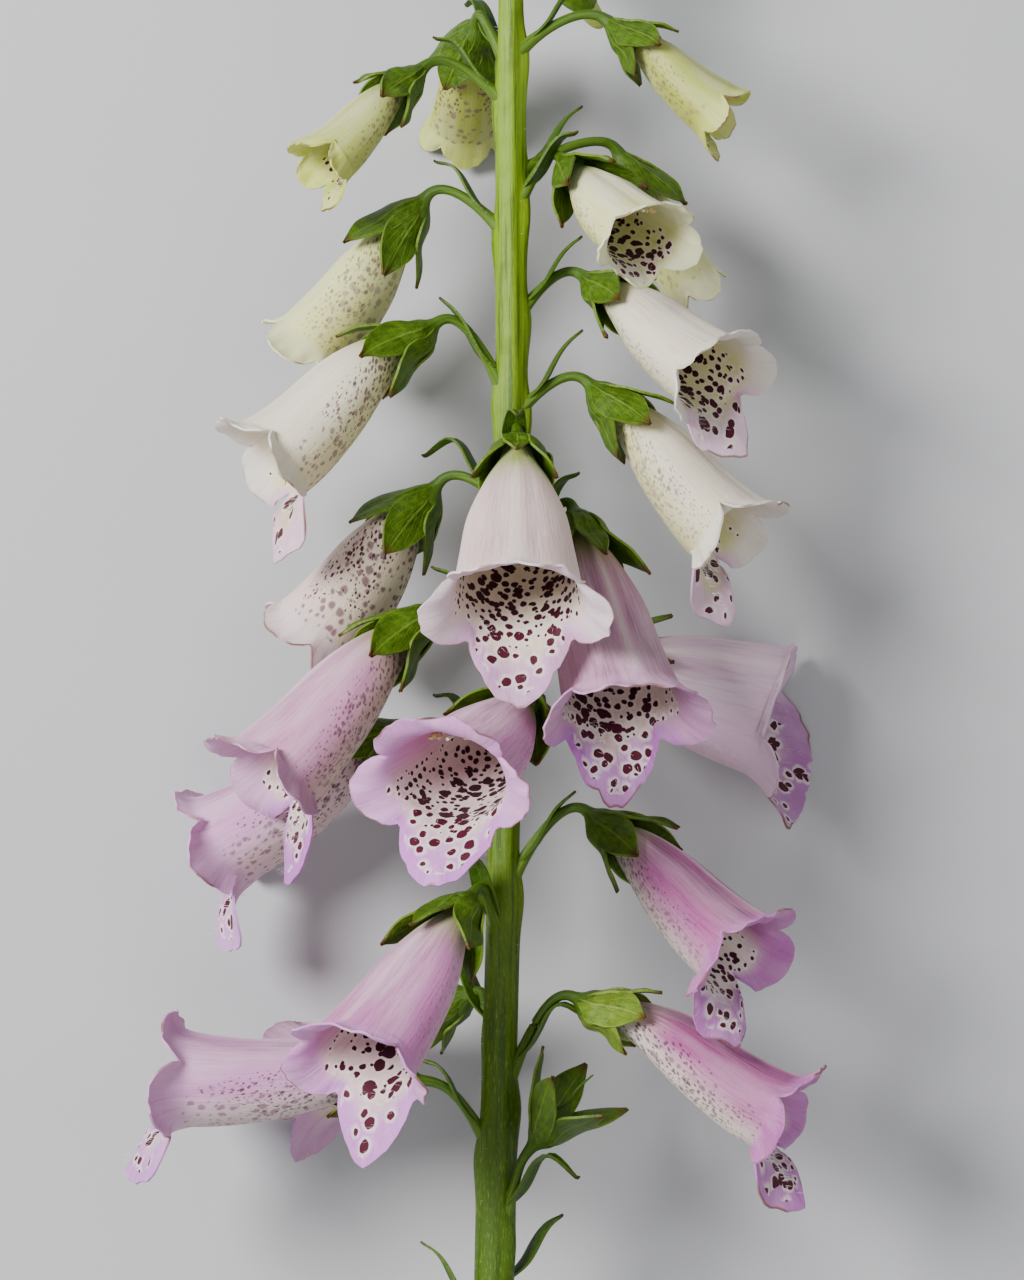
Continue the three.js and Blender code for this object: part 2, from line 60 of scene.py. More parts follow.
def setStudio():
    bpy.ops.object.camera_add(location=studio["cameraAt"], rotation=(0, 0, 0))
    camera = bpy.context.object
    camera.data.lens = studio["lens"]
    camera.data.sensor_width = studio["sensorWidth"]
    camera.data.clip_start = 0.01
    camera.data.clip_end = 20
    bpy.context.scene.camera = camera

    for place, aim, size, watts in studio["lamps"]:
        bpy.ops.object.light_add(type="AREA", location=place)
        lamp = bpy.context.object
        lamp.data.shape = "DISK"
        lamp.data.size = size
        lamp.data.energy = watts
        lamp.rotation_euler = (Vector(aim) - Vector(place)).to_track_quat("-Z", "Y").to_euler()

    world = bpy.data.worlds.new("softSky")
    world.use_nodes = True
    sky = world.node_tree.nodes["Background"]
    sky.inputs["Color"].default_value = studio["skyColour"]
    sky.inputs["Strength"].default_value = studio["skyStrength"]
    bpy.context.scene.world = world

    bpy.ops.mesh.primitive_plane_add(size=studio["floorSize"], location=(0, 0, studio["floorAt"]))
    floor = bpy.context.object
    floor.name = "tableTop"
    cloth = bpy.data.materials.new("paleTable")
    cloth.use_nodes = True
    shader = cloth.node_tree.nodes["Principled BSDF"]
    shader.inputs["Base Color"].default_value = studio["floorColour"]
    shader.inputs["Roughness"].default_value = 0.9
    floor.data.materials.append(cloth)


setStudio()
print("studio set")

# ---- shader building ----


def tone(code):
    # a colour written as on a paint card, made linear for the shader
    parts = [int(code[i:i + 2], 16) / 255 for i in (0, 2, 4)]
    return tuple(p / 12.92 if p <= 0.04045 else ((p + 0.055) / 1.055) ** 2.4 for p in parts) + (1.0,)


class Wire:
    # a socket that adds and multiplies like a number
    def __init__(self, paint, socket):
        self.paint = paint
        self.socket = socket

    def calc(self, operation, *values):
        return self.paint.node("ShaderNodeMath", {"operation": operation}, dict(enumerate(values)))

    def __add__(self, other):
        return self.calc("ADD", self, other)

    def __sub__(self, other):
        return self.calc("SUBTRACT", self, other)

    def __rsub__(self, other):
        return self.calc("SUBTRACT", other, self)

    def __mul__(self, other):
        return self.calc("MULTIPLY", self, other)

    def bigger(self, other):
        return self.calc("MAXIMUM", self, other)

    def smaller(self, other):
        return self.calc("MINIMUM", self, other)

    def below(self, other):
        return self.calc("LESS_THAN", self, other)

    def absolute(self):
        return self.calc("ABSOLUTE", self)

    def sine(self):
        return self.calc("SINE", self)

    def cosine(self):
        return self.calc("COSINE", self)


class Paint:
    # one material and the nodes that make it
    def __init__(self, name):
        self.material = bpy.data.materials.new(name)
        self.material.use_nodes = True
        self.tree = self.material.node_tree
        self.shader = self.tree.nodes["Principled BSDF"]

    def node(self, kind, settings=None, values=None, out=0):
        made = self.tree.nodes.new(kind)
        for setting, value in (settings or {}).items():
            setattr(made, setting, value)
        self.feed(made, values or {})
        return Wire(self, made.outputs[out])

    def feed(self, made, values):
        for key, value in values.items():
            if isinstance(value, Wire):
                self.tree.links.new(value.socket, made.inputs[key])
            else:
                made.inputs[key].default_value = value

    def outputOf(self, wire, name):
        return Wire(self, wire.socket.node.outputs[name])

    def pattern(self, layer):
        # a piece's own flat coordinates, split in two
        flat = self.node("ShaderNodeUVMap", {"uv_map": layer})
        x = self.node("ShaderNodeSeparateXYZ", {}, {0: flat})
        return x, self.outputOf(x, "Y")

    def skin(self):
        # how far across and along a piece's surface, in millimetres
        x, y = self.pattern("skin")
        return x * skinUnit, y * skinUnit

    def insidePiece(self):
        return self.node("ShaderNodeTexCoord", {}, {}, "Object")

    def vector(self, x, y, z=0.0):
        return self.node("ShaderNodeCombineXYZ", {}, {0: x, 1: y, 2: z})

    def step(self, value, low, high, toLow=0.0, toHigh=1.0):
        # goes smoothly from toLow to toHigh as value rises from low to high
        settings = {"interpolation_type": "SMOOTHSTEP"}
        return self.node("ShaderNodeMapRange", settings, {0: value, 1: low, 2: high, 3: toLow, 4: toHigh})

    def mix(self, share, first, second, blend="MIX"):
        # first or second may be a colour code
        first, second = (tone(part) if isinstance(part, str) else part for part in (first, second))
        settings = {"data_type": "RGBA", "blend_type": blend}
        made = self.node("ShaderNodeMix", settings, {0: share, 6: first, 7: second})
        return Wire(self, made.socket.node.outputs[2])

    def grain(self, place, scale, detail=2.0, roughness=0.5):
        values = {"Vector": place, "Scale": scale, "Detail": detail, "Roughness": roughness}
        return self.node("ShaderNodeTexNoise", {"noise_dimensions": "3D"}, values)

    def cells(self, place, scale):
        settings = {"voronoi_dimensions": "2D"}
        return self.node("ShaderNodeTexVoronoi", settings, {"Vector": place, "Scale": scale})

    def bump(self, height, distance, strength):
        values = {"Height": height, "Distance": distance, "Strength": strength}
        return self.node("ShaderNodeBump", {}, values)

    def finish(self, values):
        self.feed(self.shader, values)
        return self.material

    def flesh(self, weight, radius, scale, specular, values):
        # light goes a little way into petals and greens
        self.feed(self.shader, {
            "Subsurface Weight": weight, "Subsurface Radius": radius, "Subsurface Scale": scale,
            "Specular IOR Level": specular,
        })
        return self.finish(values)


# ---- sheets, tubes and other mesh work, in millimetres from the stem's own zero ----

stemZero = Vector((7.6, -31.4, 38.0))
metresPerMillimetre = 0.001
skinUnit = 100  # millimetres in one unit of the skin pattern
skinMiddle = 50  # where a leaf's middle line lies across it, in millimetres
smoothBelow = 50  # degrees between two faces
mergeWithin = 0.000004  # metres


def toPart(point):
    return (point + stemZero) * metresPerMillimetre


def onSkin(across, along):
    return across / skinUnit, along / skinUnit


def aboveTable(place, least):
    place.z = max(place.z, least - stemZero.z)
    return place


def lerp(a, b, share):
    return a + (b - a) * share


def ease(x, low, high):
    share = min(max((x - low) / (high - low), 0.0), 1.0)
    return share * share * (3 - 2 * share)


def through(values, t):
    # a smooth curve through evenly spaced numbers or points, t from 0 to 1
    spans = len(values) - 1
    i = min(int(t * spans), spans - 1)
    f = t * spans - i
    a, b, c, d = values[max(i - 1, 0)], values[i], values[i + 1], values[min(i + 2, spans)]
    square, cube = a * 2 - b * 5 + c * 4 - d, b * 3 - a - c * 3 + d
    return 0.5 * (b * 2 + (c - a) * f + square * f * f + cube * f ** 3)


def curveAt(stops, x):
    # a smooth curve through stops of (x, value)
    after = next((k for k, stop in enumerate(stops) if stop[0] > x), len(stops))
    i = max(0, min(len(stops) - 2, after - 1))
    slopes = []
    for k in (i, i + 1):
        low, high = stops[max(k - 1, 0)], stops[min(k + 1, len(stops) - 1)]
        slopes.append((high[1] - low[1]) / (high[0] - low[0]))
    (x0, y0), (x1, y1) = stops[i], stops[i + 1]
    f = (x - x0) / (x1 - x0)
    span = x1 - x0
    return (
        y0 * (2 * f ** 3 - 3 * f * f + 1) + slopes[0] * span * (f ** 3 - 2 * f * f + f)
        + y1 * (3 * f * f - 2 * f ** 3) + slopes[1] * span * (f ** 3 - f * f)
    )


def only(*pieces):
    bpy.ops.object.select_all(action="DESELECT")
    for piece in pieces:
        piece.select_set(True)
    bpy.context.view_layer.objects.active = pieces[0]


def isInsideOut(mesh):
    mesh.calc_loop_triangles()
    total = 0.0
    for triangle in mesh.loop_triangles:
        a, b, c = (mesh.vertices[i].co for i in triangle.vertices)
        total += a.dot(b.cross(c))
    return total < 0


def meshEdit(operation, **values):
    bpy.ops.object.mode_set(mode="EDIT")
    bpy.ops.mesh.select_all(action="SELECT")
    operation(**values)
    bpy.ops.object.mode_set(mode="OBJECT")


def sheet(name, columns, rows, shape, materials, thickness=0.0):
    # a flat grid bent into shape. shape(s, t) gives a place and two pairs of pattern coordinates. Edges that
    # meet are joined, and a thickness in millimetres makes it a wall, whose back takes the last material.
    bpy.ops.mesh.primitive_grid_add(x_subdivisions=columns, y_subdivisions=rows, size=1)
    piece = bpy.context.object
    piece.name = name
    mesh = piece.data
    mesh.name = name
    shaped = [shape(v.co.x + 0.5, v.co.y + 0.5) for v in mesh.vertices]
    mesh.uv_layers.active.name = "skin"
    mesh.uv_layers.new(name="share")
    for layer, which in (("skin", 1), ("share", 2)):
        flat = [c for loop in mesh.loops for c in shaped[loop.vertex_index][which]]
        mesh.uv_layers[layer].data.foreach_set("uv", flat)
    for vertex, made in zip(mesh.vertices, shaped):
        vertex.co = toPart(made[0])
    for material in materials:
        mesh.materials.append(material)
    only(piece)
    meshEdit(bpy.ops.mesh.remove_doubles, threshold=mergeWithin)
    if thickness:
        wall = piece.modifiers.new("wall", "SOLIDIFY")
        wall.thickness = thickness * metresPerMillimetre
        wall.offset = -1
        wall.use_quality_normals = True
        wall.material_offset = len(materials) - 1
        wall.material_offset_rim = len(materials) - 1
        bpy.ops.object.modifier_apply(modifier=wall.name)
    if isInsideOut(mesh):
        meshEdit(bpy.ops.mesh.flip_normals)
    bpy.ops.object.shade_smooth_by_angle(angle=math.radians(smoothBelow))
    return piece


def joined(name, pieces):
    only(*pieces)
    bpy.ops.object.join()
    pieces[0].name = name
    pieces[0].data.name = name
    return pieces[0]


def ringFrame(points, t, facing):
    here = through(points, t)
    along = (through(points, min(t + 0.01, 1.0)) - through(points, max(t - 0.01, 0.0))).normalized()
    side = (facing - along * facing.dot(along)).normalized()
    return here, side, along.cross(side)


def tube(name, points, radii, columns, rows, material, facing):
    # a round stalk through points, closed at both ends, with one radius for each point
    length = sum((b - a).length for a, b in zip(points, points[1:]))

    def shape(s, t):
        inner = (t * rows - 1) / (rows - 2)
        share = min(max(inner, 0.0), 1.0)
        here, side, up = ringFrame(points, share, facing)
        radius = through(radii, share) if -0.001 < inner < 1.001 else 0.0
        turn = 2 * math.pi * s
        place = here + side * (radius * math.cos(turn)) + up * (radius * math.sin(turn))
        return place, onSkin(s * 2 * math.pi * max(radius, 0.1), share * length), (s, share)

    return sheet(name, columns, rows, shape, [material])


def settle(piece, node):
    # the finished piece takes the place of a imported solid, if it has one
    if node:
        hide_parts(node)
    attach(piece, "root")


# ---- where everything grows ----

stemStations = [  # y, x, radius
    (-152, -3.8, 4.1), (-120, -3.0, 3.8), (-88, -2.3, 3.5), (-48, -1.5, 3.2), (0, -0.5, 3.05),
    (48, 0.1, 2.9), (108, 0.1, 2.7), (150, 0.3, 2.1), (185, 1.2, 1.4), (214, 2.8, 0.7),
]


def stemAt(y):
    # the middle of the stem and its radius
    x = curveAt([(s[0], s[1]) for s in stemStations], y)
    return Vector((x, y, 0)), curveAt([(s[0], s[2]) for s in stemStations], y)


usualLooks = {
    "roll": 0, "turned": 0, "twist": 0, "tongue": 1, "tongueWidth": 1, "blunt": 1, "brow": 1, "ears": 1,
    "cutBack": 0, "browCut": 0, "slant": 0, "arch": 0.04,
    "leafy": 1, "crown": 1, "open": 0.4, "bract": 1, "green": "usual",
}


def bloom(at, heading, rise, length, girth, flare, droop, rootY, **looks):
    own = dict(at=Vector(at), heading=heading, rise=rise, length=length, girth=girth, flare=flare,
               droop=droop, rootY=rootY)
    return {**usualLooks, **own, **looks}


# The open flowers from the top of the spike down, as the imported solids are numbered, with angles in degrees.
# heading turns a bell from straight down the stem, rise lifts its mouth and roll turns it about its axis.
# flare is how far the lips curl out, droop how far the lower lobe leans out and rootY where the stalk starts.
# Of the looks, tongue, tongueWidth, blunt and twist shape the lower lobe, brow and ears size the other lobes,
# cutBack, browCut and slant shorten a side of the lip, turned moves the lobes round the mouth, and arch is the
# rise of the tube's back as a share of its length. The rest are for the sepals and the bract.
blooms = [
    bloom((-20, 111.6, 2), -45, 15, 31, 1.05, 0.25, 5, 106, cutBack=1.5, twist=14, tongue=0.8, leafy=0.88),
    bloom((-7, 122.4, -9), -8, -58, 38, 0.85, 0.1, 5, 114, tongue=0.5),
    bloom((22.4, 121, 2), 50, 5, 31, 1.05, 0.2, 5, 116, twist=20, tongue=0.8, leafy=0.8),
    bloom((-19.4, 85.6, -4), -38, -12, 42, 1.0, 0.95, 14, 80, roll=12, twist=10, tongue=0.5, arch=0.02),
    bloom((12.4, 93.6, 6), 42, 42, 35, 1.1, 0.75, 20, 85, tongue=0.5, arch=0.015),
    bloom((23.6, 95, -8), 30, -15, 33, 0.9, 0.4, 15, 92),
    bloom((17.5, 70.6, 0), 51, 27, 42, 1.08, 1, 26, 63, cutBack=1.5, twist=25, turned=27, leafy=0.9),
    bloom((-18, 60.4, 3), -50, 6, 50, 1.02, 0.95, 45, 47, cutBack=3.5, twist=32, arch=0.055,
          tongueWidth=0.85),
    bloom((18.6, 48.2, 1.3), 43.5, 6, 48, 1.02, 0.8, 24, 44.5, cutBack=5, twist=42, tongueWidth=0.85,
          turned=8, leafy=0.9),
    bloom((1.4, 37.6, 13), 0, 45, 54, 0.97, 0.95, 38, 36, crown=0.6, leafy=0.72,
          arch=0.005, open=0.1, bract=0.55),
    bloom((-17.2, 28, -7), -38, -8, 43, 1.12, 0.8, 20, 27, roll=30, hook=2.0),
    bloom((13.4, 22.6, 6), 14, 33, 55, 0.92, 0.9, 35, 14, arch=0.015),
    bloom((18, -4, -13.5), 73, -14, 48, 1.25, 0.6, 2, -12, roll=70, tongue=1.15, tongueWidth=1.5,
          blunt=2.6, turned=-26, brow=0.0, browCut=2.8, slant=1.7, arch=0.01),
    bloom((-18, 3.6, 4), -44, 10, 55, 1, 1, 45, -4, cutBack=3, twist=12, tongueWidth=0.78),
    bloom((-22.4, -19.6, -13), -59, -10, 54, 1, 1.2, 45, -28, twist=48, tongueWidth=0.9),
    bloom((2.6, -12, 16), -46, 58, 50, 1.05, 1.25, 45, -20, tongue=1.08, arch=0.01),
    bloom((18.5, -37, 3), 48, 20, 49, 0.96, 1.25, 45, -52, cutBack=2.5, twist=32, tongueWidth=0.85,
          ears=1.35),
    bloom((-9.4, -53, 14), -35, 35, 52, 0.95, 1, 42, -60, tongue=1.05, arch=0.02),
    bloom((-22, -88, 1), -90, -4, 56, 0.92, 1.3, 60, -104, twist=38),
    # bloom 20's sepals use the pale green, a painted light copy of the usual one
    bloom((16.8, -73.4, 3), 61, 8, 55, 0.82, 1.15, 36, -94, cutBack=2.5, twist=40, tongue=0.9, arch=0.06,
          green="pale", tongueWidth=0.88, leafy=0.76, hook=1.9),
    bloom((-11, -73, -8), -60, -33, 50, 1, 1, 35, -80),
]
spentBloom = bloom((7, -97.6, 6), 140, 10, 46, 1, 0, 0, -121, hook=2.3, open=1.0)


class Axes:
    # a bell's own directions: out along it, up through its roof and across
    def __init__(self, flower):
        heading, rise = math.radians(flower["heading"]), math.radians(flower["rise"])
        self.origin = flower["at"]
        level = math.cos(rise)
        self.out = Vector((math.sin(heading) * level, -math.cos(heading) * level, math.sin(rise)))
        self.roof = (Vector((0, 1, 0)) - self.out * self.out.y).normalized()
        turn = math.radians(flower["roll"])
        self.roof = self.roof * math.cos(turn) + self.out.cross(self.roof) * math.sin(turn)
        self.across = self.out.cross(self.roof)
        self.nearSide = 1 if self.across.z > 0 else -1

    def place(self, along, up, side):
        return self.origin + self.out * along + self.roof * up + self.across * side


# ---- bells ----

bellShape = {
    "throatAt": 0.74,  # share of the length where the tube ends and the lips start
    "mouthRadius": 0.235,  # over the length
    "flatness": 0.78,  # height of the tube over its width
    "belly": 0.02,  # how far the middle of the tube hangs, as a share of the length
    "bellyFullness": 0.06,
    "throatSlope": 10,  # degrees
    "collar": 0.05,  # least reach of the lip, as a share of the length
    "fullCurl": 66,  # degrees that a lip bends out where flare is 1
    "tableClear": 0.45,
    "radii": [(0, 0.22), (0.1, 0.31), (0.25, 0.52), (0.5, 0.77), (0.75, 0.89), (1, 1)],
    "lobes": [  # degrees from the roof, half width, reach, roundness of its flanks, point
        (24, 38, 0.1, 2, 0.6), (103, 37, 0.135, 2, 0.6), (180, 47, 0.29, 1.3, 1),
    ],
    "skin": 0.42,
    "columns": 90,
    "rows": 70,
    "domeRows": 4,  # close the bell's base
    "tubeRows": 0.52,  # share of the rows before the throat
    "domeDepth": 1.1,
    "ruffle": 0.85,
    "ridge": 0.32,
}


def radiusShare(u):
    return curveAt(bellShape["radii"], u)


def fromRoof(angle):
    return abs((angle + 180) % 360 - 180)


def lipReach(flower, angle):
    best = 0.0
    around = fromRoof(angle - flower["turned"])
    for at, half, reach, flank, point in bellShape["lobes"]:
        if at == 180:
            half *= flower["tongueWidth"]
            reach *= flower["tongue"]
            flank *= flower["blunt"]
        else:
            reach *= flower["brow" if at < 90 else "ears"]
        off = abs(around - at) / half
        if off < 1:
            best = max(best, reach * (1 - off ** flank) ** point)
    return bellShape["collar"] + best


def lipLean(flower, angle):
    curl = bellShape["fullCurl"] * flower["flare"]
    return lerp(curl, flower["droop"], ease(fromRoof(angle), 110, 170))


def skinPoint(flower, u, angle, away=0.0):
    # reach, up and side of a point that lies away from the bell's skin, and its distance from the axis. u is
    # 0 at the base, 1 at the throat and 2 at the edge of the lip.
    length = flower["length"]
    turn = math.radians(angle)
    along = min(max(u, 0.0), 1.0)
    hang = math.sin(math.pi * along)
    mouth = bellShape["mouthRadius"] * length * flower["girth"]
    floorward = (1 - math.cos(turn)) / 2
    spread = mouth * radiusShare(along) * (1 + bellShape["bellyFullness"] * hang * floorward)
    reach = bellShape["throatAt"] * length * min(u, 1.0)
    if u <= 1:
        spread += away
    else:
        start = math.radians(bellShape["throatSlope"])
        bend = math.radians(lipLean(flower, angle)) * (u - 1)
        bend = bend if abs(bend) > 1e-3 else 1e-3
        size = lipReach(flower, angle) * length * (u - 1)
        reach += size * (math.sin(start + bend) - math.sin(start)) / bend - away * math.sin(start + bend)
        spread += size * (math.cos(start) - math.cos(start + bend)) / bend + away * math.cos(start + bend)
    sag = bellShape["belly"] * length * hang
    archShape = 6.75 * along * (1 - along) ** 2  # 1 at a third of the tube, its highest
    sag -= flower["arch"] * length * archShape
    return reach, spread * math.cos(turn) * bellShape["flatness"] - sag, spread * math.sin(turn), spread


def twistTongue(flower, axes, angle, u, up, side):
    # the lower lobe hangs turned, so that its inner face shows
    share = lipReach(flower, angle) * (u - 1) - bellShape["collar"]
    amount = ease(share, 0, 0.16) * ease(fromRoof(angle - flower["turned"]), 128, 141)
    turn = math.radians(flower["twist"]) * amount * axes.nearSide
    _, middleUp, middleSide, _ = skinPoint(flower, u, 180 + flower["turned"])
    up, side = up - middleUp, side - middleSide
    return (
        middleUp + up * math.cos(turn) - side * math.sin(turn),
        middleSide + up * math.sin(turn) + side * math.cos(turn),
    )


def bellSkin(flower, seed):
    # the shape of one bell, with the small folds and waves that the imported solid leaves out
    axes = Axes(flower)
    rows = bellShape["rows"]
    dome = bellShape["domeRows"] / rows
    throat = bellShape["tubeRows"]
    tubeLength = bellShape["throatAt"] * flower["length"]
    drift = Vector((seed * 7.3, seed * 3.1, seed * 1.7))

    def shape(s, t):
        angle = 360 * s
        turn = math.radians(angle)
        if t < dome:
            u = 0.0
        elif t < throat:
            u = (t - dome) / (throat - dome)
        else:
            u = 1 + (t - throat) / (1 - throat)
        ring = Vector((math.cos(turn), math.sin(turn), 0))
        lump = noise.noise(ring * 0.9 + Vector((0, 0, u * 1.6)) + drift) * 0.45 * ease(u, 0.1, 0.6)
        nearRoof = fromRoof(angle)
        crease = math.exp(-((nearRoof - 19) / 8) ** 2) - 0.55 * math.exp(-(nearRoof / 8) ** 2)
        fold = -bellShape["ridge"] * crease * ease(u, 0.12, 0.45) * (1 - ease(u, 1.3, 1.9))
        wave = noise.noise(ring * 2.6 + Vector((0, 0, u * 0.8)) + drift * 2)
        frill = noise.noise(ring * 6.5 + Vector((0, 0, u * 1.3)) + drift * 3)
        ruffle = bellShape["ruffle"] * (1.5 * wave + 0.6 * frill) * ease(u, 1.05, 2.0) * flower["length"] / 50
        nick = noise.noise(ring * 11 + drift * 4)
        stretch = 1 + (0.07 * wave + 0.06 * frill + 0.07 * nick) * ease(u, 1.2, 2)
        stretched = 1 + (u - 1) * stretch if u > 1 else u
        reach, up, side, spread = skinPoint(flower, stretched, angle, lump + fold + ruffle)
        if u > 1 and flower["twist"]:
            up, side = twistTongue(flower, axes, angle, u, up, side)
        lipward = ease(u, 0.7, 1.6)
        reach -= flower["cutBack"] * max(0, math.sin(turn) * axes.nearSide) ** 1.5 * lipward
        reach -= flower["browCut"] * max(0, math.cos(turn)) ** 1.5 * lipward
        reach -= flower["slant"] * math.sin(turn) * (1 + math.cos(turn)) * ease(u, 0.6, 1.6)
        if t < dome:
            share = t / dome
            up, side = up * share, side * share
            reach -= bellShape["domeDepth"] * math.sqrt(max(0.0, 1 - share * share))
        place = aboveTable(axes.place(reach, up, side), bellShape["tableClear"])
        onLip = lipReach(flower, angle) * flower["length"] * (u - 1)
        along = tubeLength * u if u < 1 else tubeLength + onLip
        skin = onSkin(math.radians(angle - 180) * spread, along)
        fromFloor = (180 - fromRoof(angle - flower["turned"])) / 180
        return place, skin, (fromFloor, u / 2)

    return shape


tintNames = ("neck", "tube", "floor", "outerLip", "innerLip", "inside", "crease")
bellLooks = {  # in the order of tintNames
    "cream": ("74842a", "b8c151", "aab046", "c4cc5c", "c8d162", "b8c244", "86823c"),
    "ivory": ("98aa38", "dcdc96", "cbcb80", "e7e7b8", "e4e4b4", "c6ca5c", "b8a474"),
    "pearl": ("a8b44c", "e6dcc2", "d8d494", "e7e2d0", "deb8cc", "d6d480", "c09a94"),
    "blush": ("98a844", "e3c8c0", "e0d2b4", "e6d2d4", "cf9ac6", "e7e0ac", "b06e94"),
    "rose": ("9aa04c", "c484ab", "dcc4b0", "cf9cc2", "bc72c0", "e4d2b2", "8f4478"),
    # bell 12's tints: rose darkened partly as painted shade, for the shadow that bell 10 casts on its roof,
    # and partly its own deeper, duskier pink
    "roseWithPaintedShade": ("94983c", "b8809e", "d4bca8", "cb96bc", "b668ba", "e4d2b2", "7c3c68"),
    "mauve": ("9aa04c", "e2bcd4", "dcb6c4", "e0bcd4", "b074ac", "d8b0c4", "a0608c"),
    "lilac": ("a8ac68", "c87cb2", "dcc2be", "d08ec8", "c87ccc", "e0c8c2", "8a3070"),
    "orchid": ("b0b070", "cc8fbf", "e2cac4", "d6a4ce", "c88ccc", "e0c8c2", "94407c"),
    # bells 17 and 20: tube darkened partly as painted shade, for the shade on their sides away from the lamp,
    # and partly their own deep magenta
    "magentaWithPaintedShade": ("dcd6b4", "ac5490", "e8dccc", "bc6cb0", "b668b4", "e4d0cc", "7c2460"),
}
spotTint = {"deep": "300012", "lip": "4a001e", "shown": "70405c", "freckle": "54203c"}
farAway = 9  # millimetres to a spot, in a cell that has none

spotNames = ("size", "share", "smallShare", "bigFrom", "bigTo", "halo")
spotLooks = {
    # in the order of spotNames: size of a cell in millimetres, shares of cells with a big and a small spot,
    # where along the bell the big spots set in and die out, and how strong their pale rings are
    "tiny": (1.8, 0.35, 0.55, (0.5, 0.9), (1.4, 1.8), 0.1),
    "few": (3.0, 0.35, 0.35, (0.5, 0.9), (1.5, 1.85), 0.4),
    "small": (2.4, 0.85, 0.75, (0.2, 0.5), (1.6, 1.9), 0.8),
    "many": (3.1, 0.92, 0.80, (0.3, 0.6), (1.6, 1.9), 0.8),
    "bold": (4.1, 0.92, 0.45, (0.4, 0.7), (1.65, 1.95), 0.8),
    "far": (3.8, 0.95, 0.60, (0.4, 0.7), (1.9, 2.1), 0.8),
}

# for each bell: its tints, its spots, how dark its creases are and how strongly its spots show through
bellChoices = [
    ("cream", "tiny", 0.15, 0.6), ("cream", "many", 0.1, 0.8), ("cream", "tiny", 0.15, 0.45),
    ("ivory", "few", 0.15, 0.6), ("ivory", "small", 0.2, 0.5), ("ivory", "few", 0.2, 0.5),
    ("pearl", "many", 0.3, 0.5), ("pearl", "bold", 0.2, 0.8), ("pearl", "bold", 0.25, 0.5),
    # bell 12 takes the rose tints that hold painted shade
    ("blush", "many", 0.35, 0.4), ("blush", "many", 0.3, 1.0), ("roseWithPaintedShade", "many", 0.5, 0.35),
    ("mauve", "far", 0.2, 0.1), ("rose", "many", 0.3, 0.7), ("orchid", "many", 0.4, 0.8),
    # bells 17 and 20 take the magenta tints that hold painted shade
    ("lilac", "many", 0.4, 0.4), ("magentaWithPaintedShade", "small", 0.75, 0.6), ("lilac", "bold", 0.35, 0.3),
    ("orchid", "many", 0.4, 0.8), ("magentaWithPaintedShade", "small", 0.9, 0.8), ("rose", "many", 0.4, 0.5),
]


def spotLayer(paint, place, size, least, most, chance, region):
    # millimetres from the edge of the nearest spot. Spots shrink towards the end of their region.
    cell = paint.cells(place, 1 / size)
    draw = paint.node("ShaderNodeSeparateColor", {}, {0: paint.outputOf(cell, "Color")})
    present = draw.below(chance) * (0.08 - region).below(0)
    radius = (paint.outputOf(draw, "Green") * (most - least) + least) * (region * 0.5 + 0.5)
    return cell * size - radius + (1 - present) * farAway


def spotPlace(paint, across, along, seed, wobble, scale):
    # a bell's flat skin, shaken a little so that spots aren't round
    place = paint.vector(across + seed * 31.7, along + seed * 17.3)
    stir = paint.outputOf(paint.grain(place, scale, 1.0), "Color")
    settings = {"operation": "MULTIPLY_ADD"}
    return paint.node("ShaderNodeVectorMath", settings, {0: stir, 1: (wobble, wobble, 0), 2: place})


def spotField(paint, across, along, fromFloor, u, seed, spots):
    place = spotPlace(paint, across, along, seed, 1.2, 0.45)
    width = paint.step(u, 0.95, 1.6, 0.30, 0.19)
    big = paint.step(fromFloor - width, -0.09, 0.05, 1.0, 0.0)
    big = big * paint.step(u, *spots["bigFrom"]) * paint.step(u, *spots["bigTo"], 1.0, 0.0)
    size = spots["size"]
    bigLayer = spotLayer(paint, place, size, 0.15 * size, 0.42 * size, spots["share"], big)
    place = spotPlace(paint, across, along, seed + 5, 0.7, 0.7)
    small = paint.step(fromFloor, 0.36, 0.50, 1.0, 0.0)
    small = small * paint.step(u, 0.12, 0.3) * paint.step(u, 1.0, 1.35, 1.0, 0.0)
    smallLayer = spotLayer(paint, place, 1.9, 0.25, 0.74, spots["smallShare"], small)
    return bigLayer.smaller(smallLayer)


def petalVeins(paint, fromFloor, along, seed):
    # fine veins fan out along the petal, with broad soft patches under them and a grain over them
    fan = fromFloor * 36
    veins = paint.grain(paint.vector(fan * 1.6, along * 0.10, seed * 3.7), 1.0, 4.0, 0.65)
    broad = paint.grain(paint.vector(fan * 0.16, along * 0.045, seed * 5.1), 1.0, 2.0)
    fine = paint.grain(paint.vector(fan * 5.0, along * 0.8, seed * 2.9), 1.0, 2.0)
    return veins, broad, fine


def petalSkin(paint, base, veins, broad, fine, crease, creaseShare):
    # what both sides of a bell share
    base = paint.mix(paint.step(veins, 0.46, 0.76) * (0.14 + 0.36 * creaseShare), base, crease, "MULTIPLY")
    base = paint.mix(paint.step(broad, 0.35, 0.7) * 0.14, base, "f6f0ee")
    return paint.mix(paint.step(fine, 0.55, 0.8) * 0.10, base, "ffffff")


def petalFinish(paint, base, relief, fine):
    return paint.flesh(0.2, (1.0, 0.7, 0.6), 0.0011, 0.28, {
        "Base Color": base,
        "Roughness": paint.step(fine, 0.2, 0.8, 0.5, 0.68),
        "Normal": paint.bump(relief, 0.00035, 0.6),
        "Sheen Weight": 0.05,
        "Sheen Roughness": 0.5,
    })


def lipEdge(paint, base, u, broad):
    # the very edge of a lip browns here and there
    brown = paint.step(u, 1.95, 1.99) * paint.step(broad, 0.5, 0.62) * 0.8
    return paint.mix(brown, base, "7c4a30")


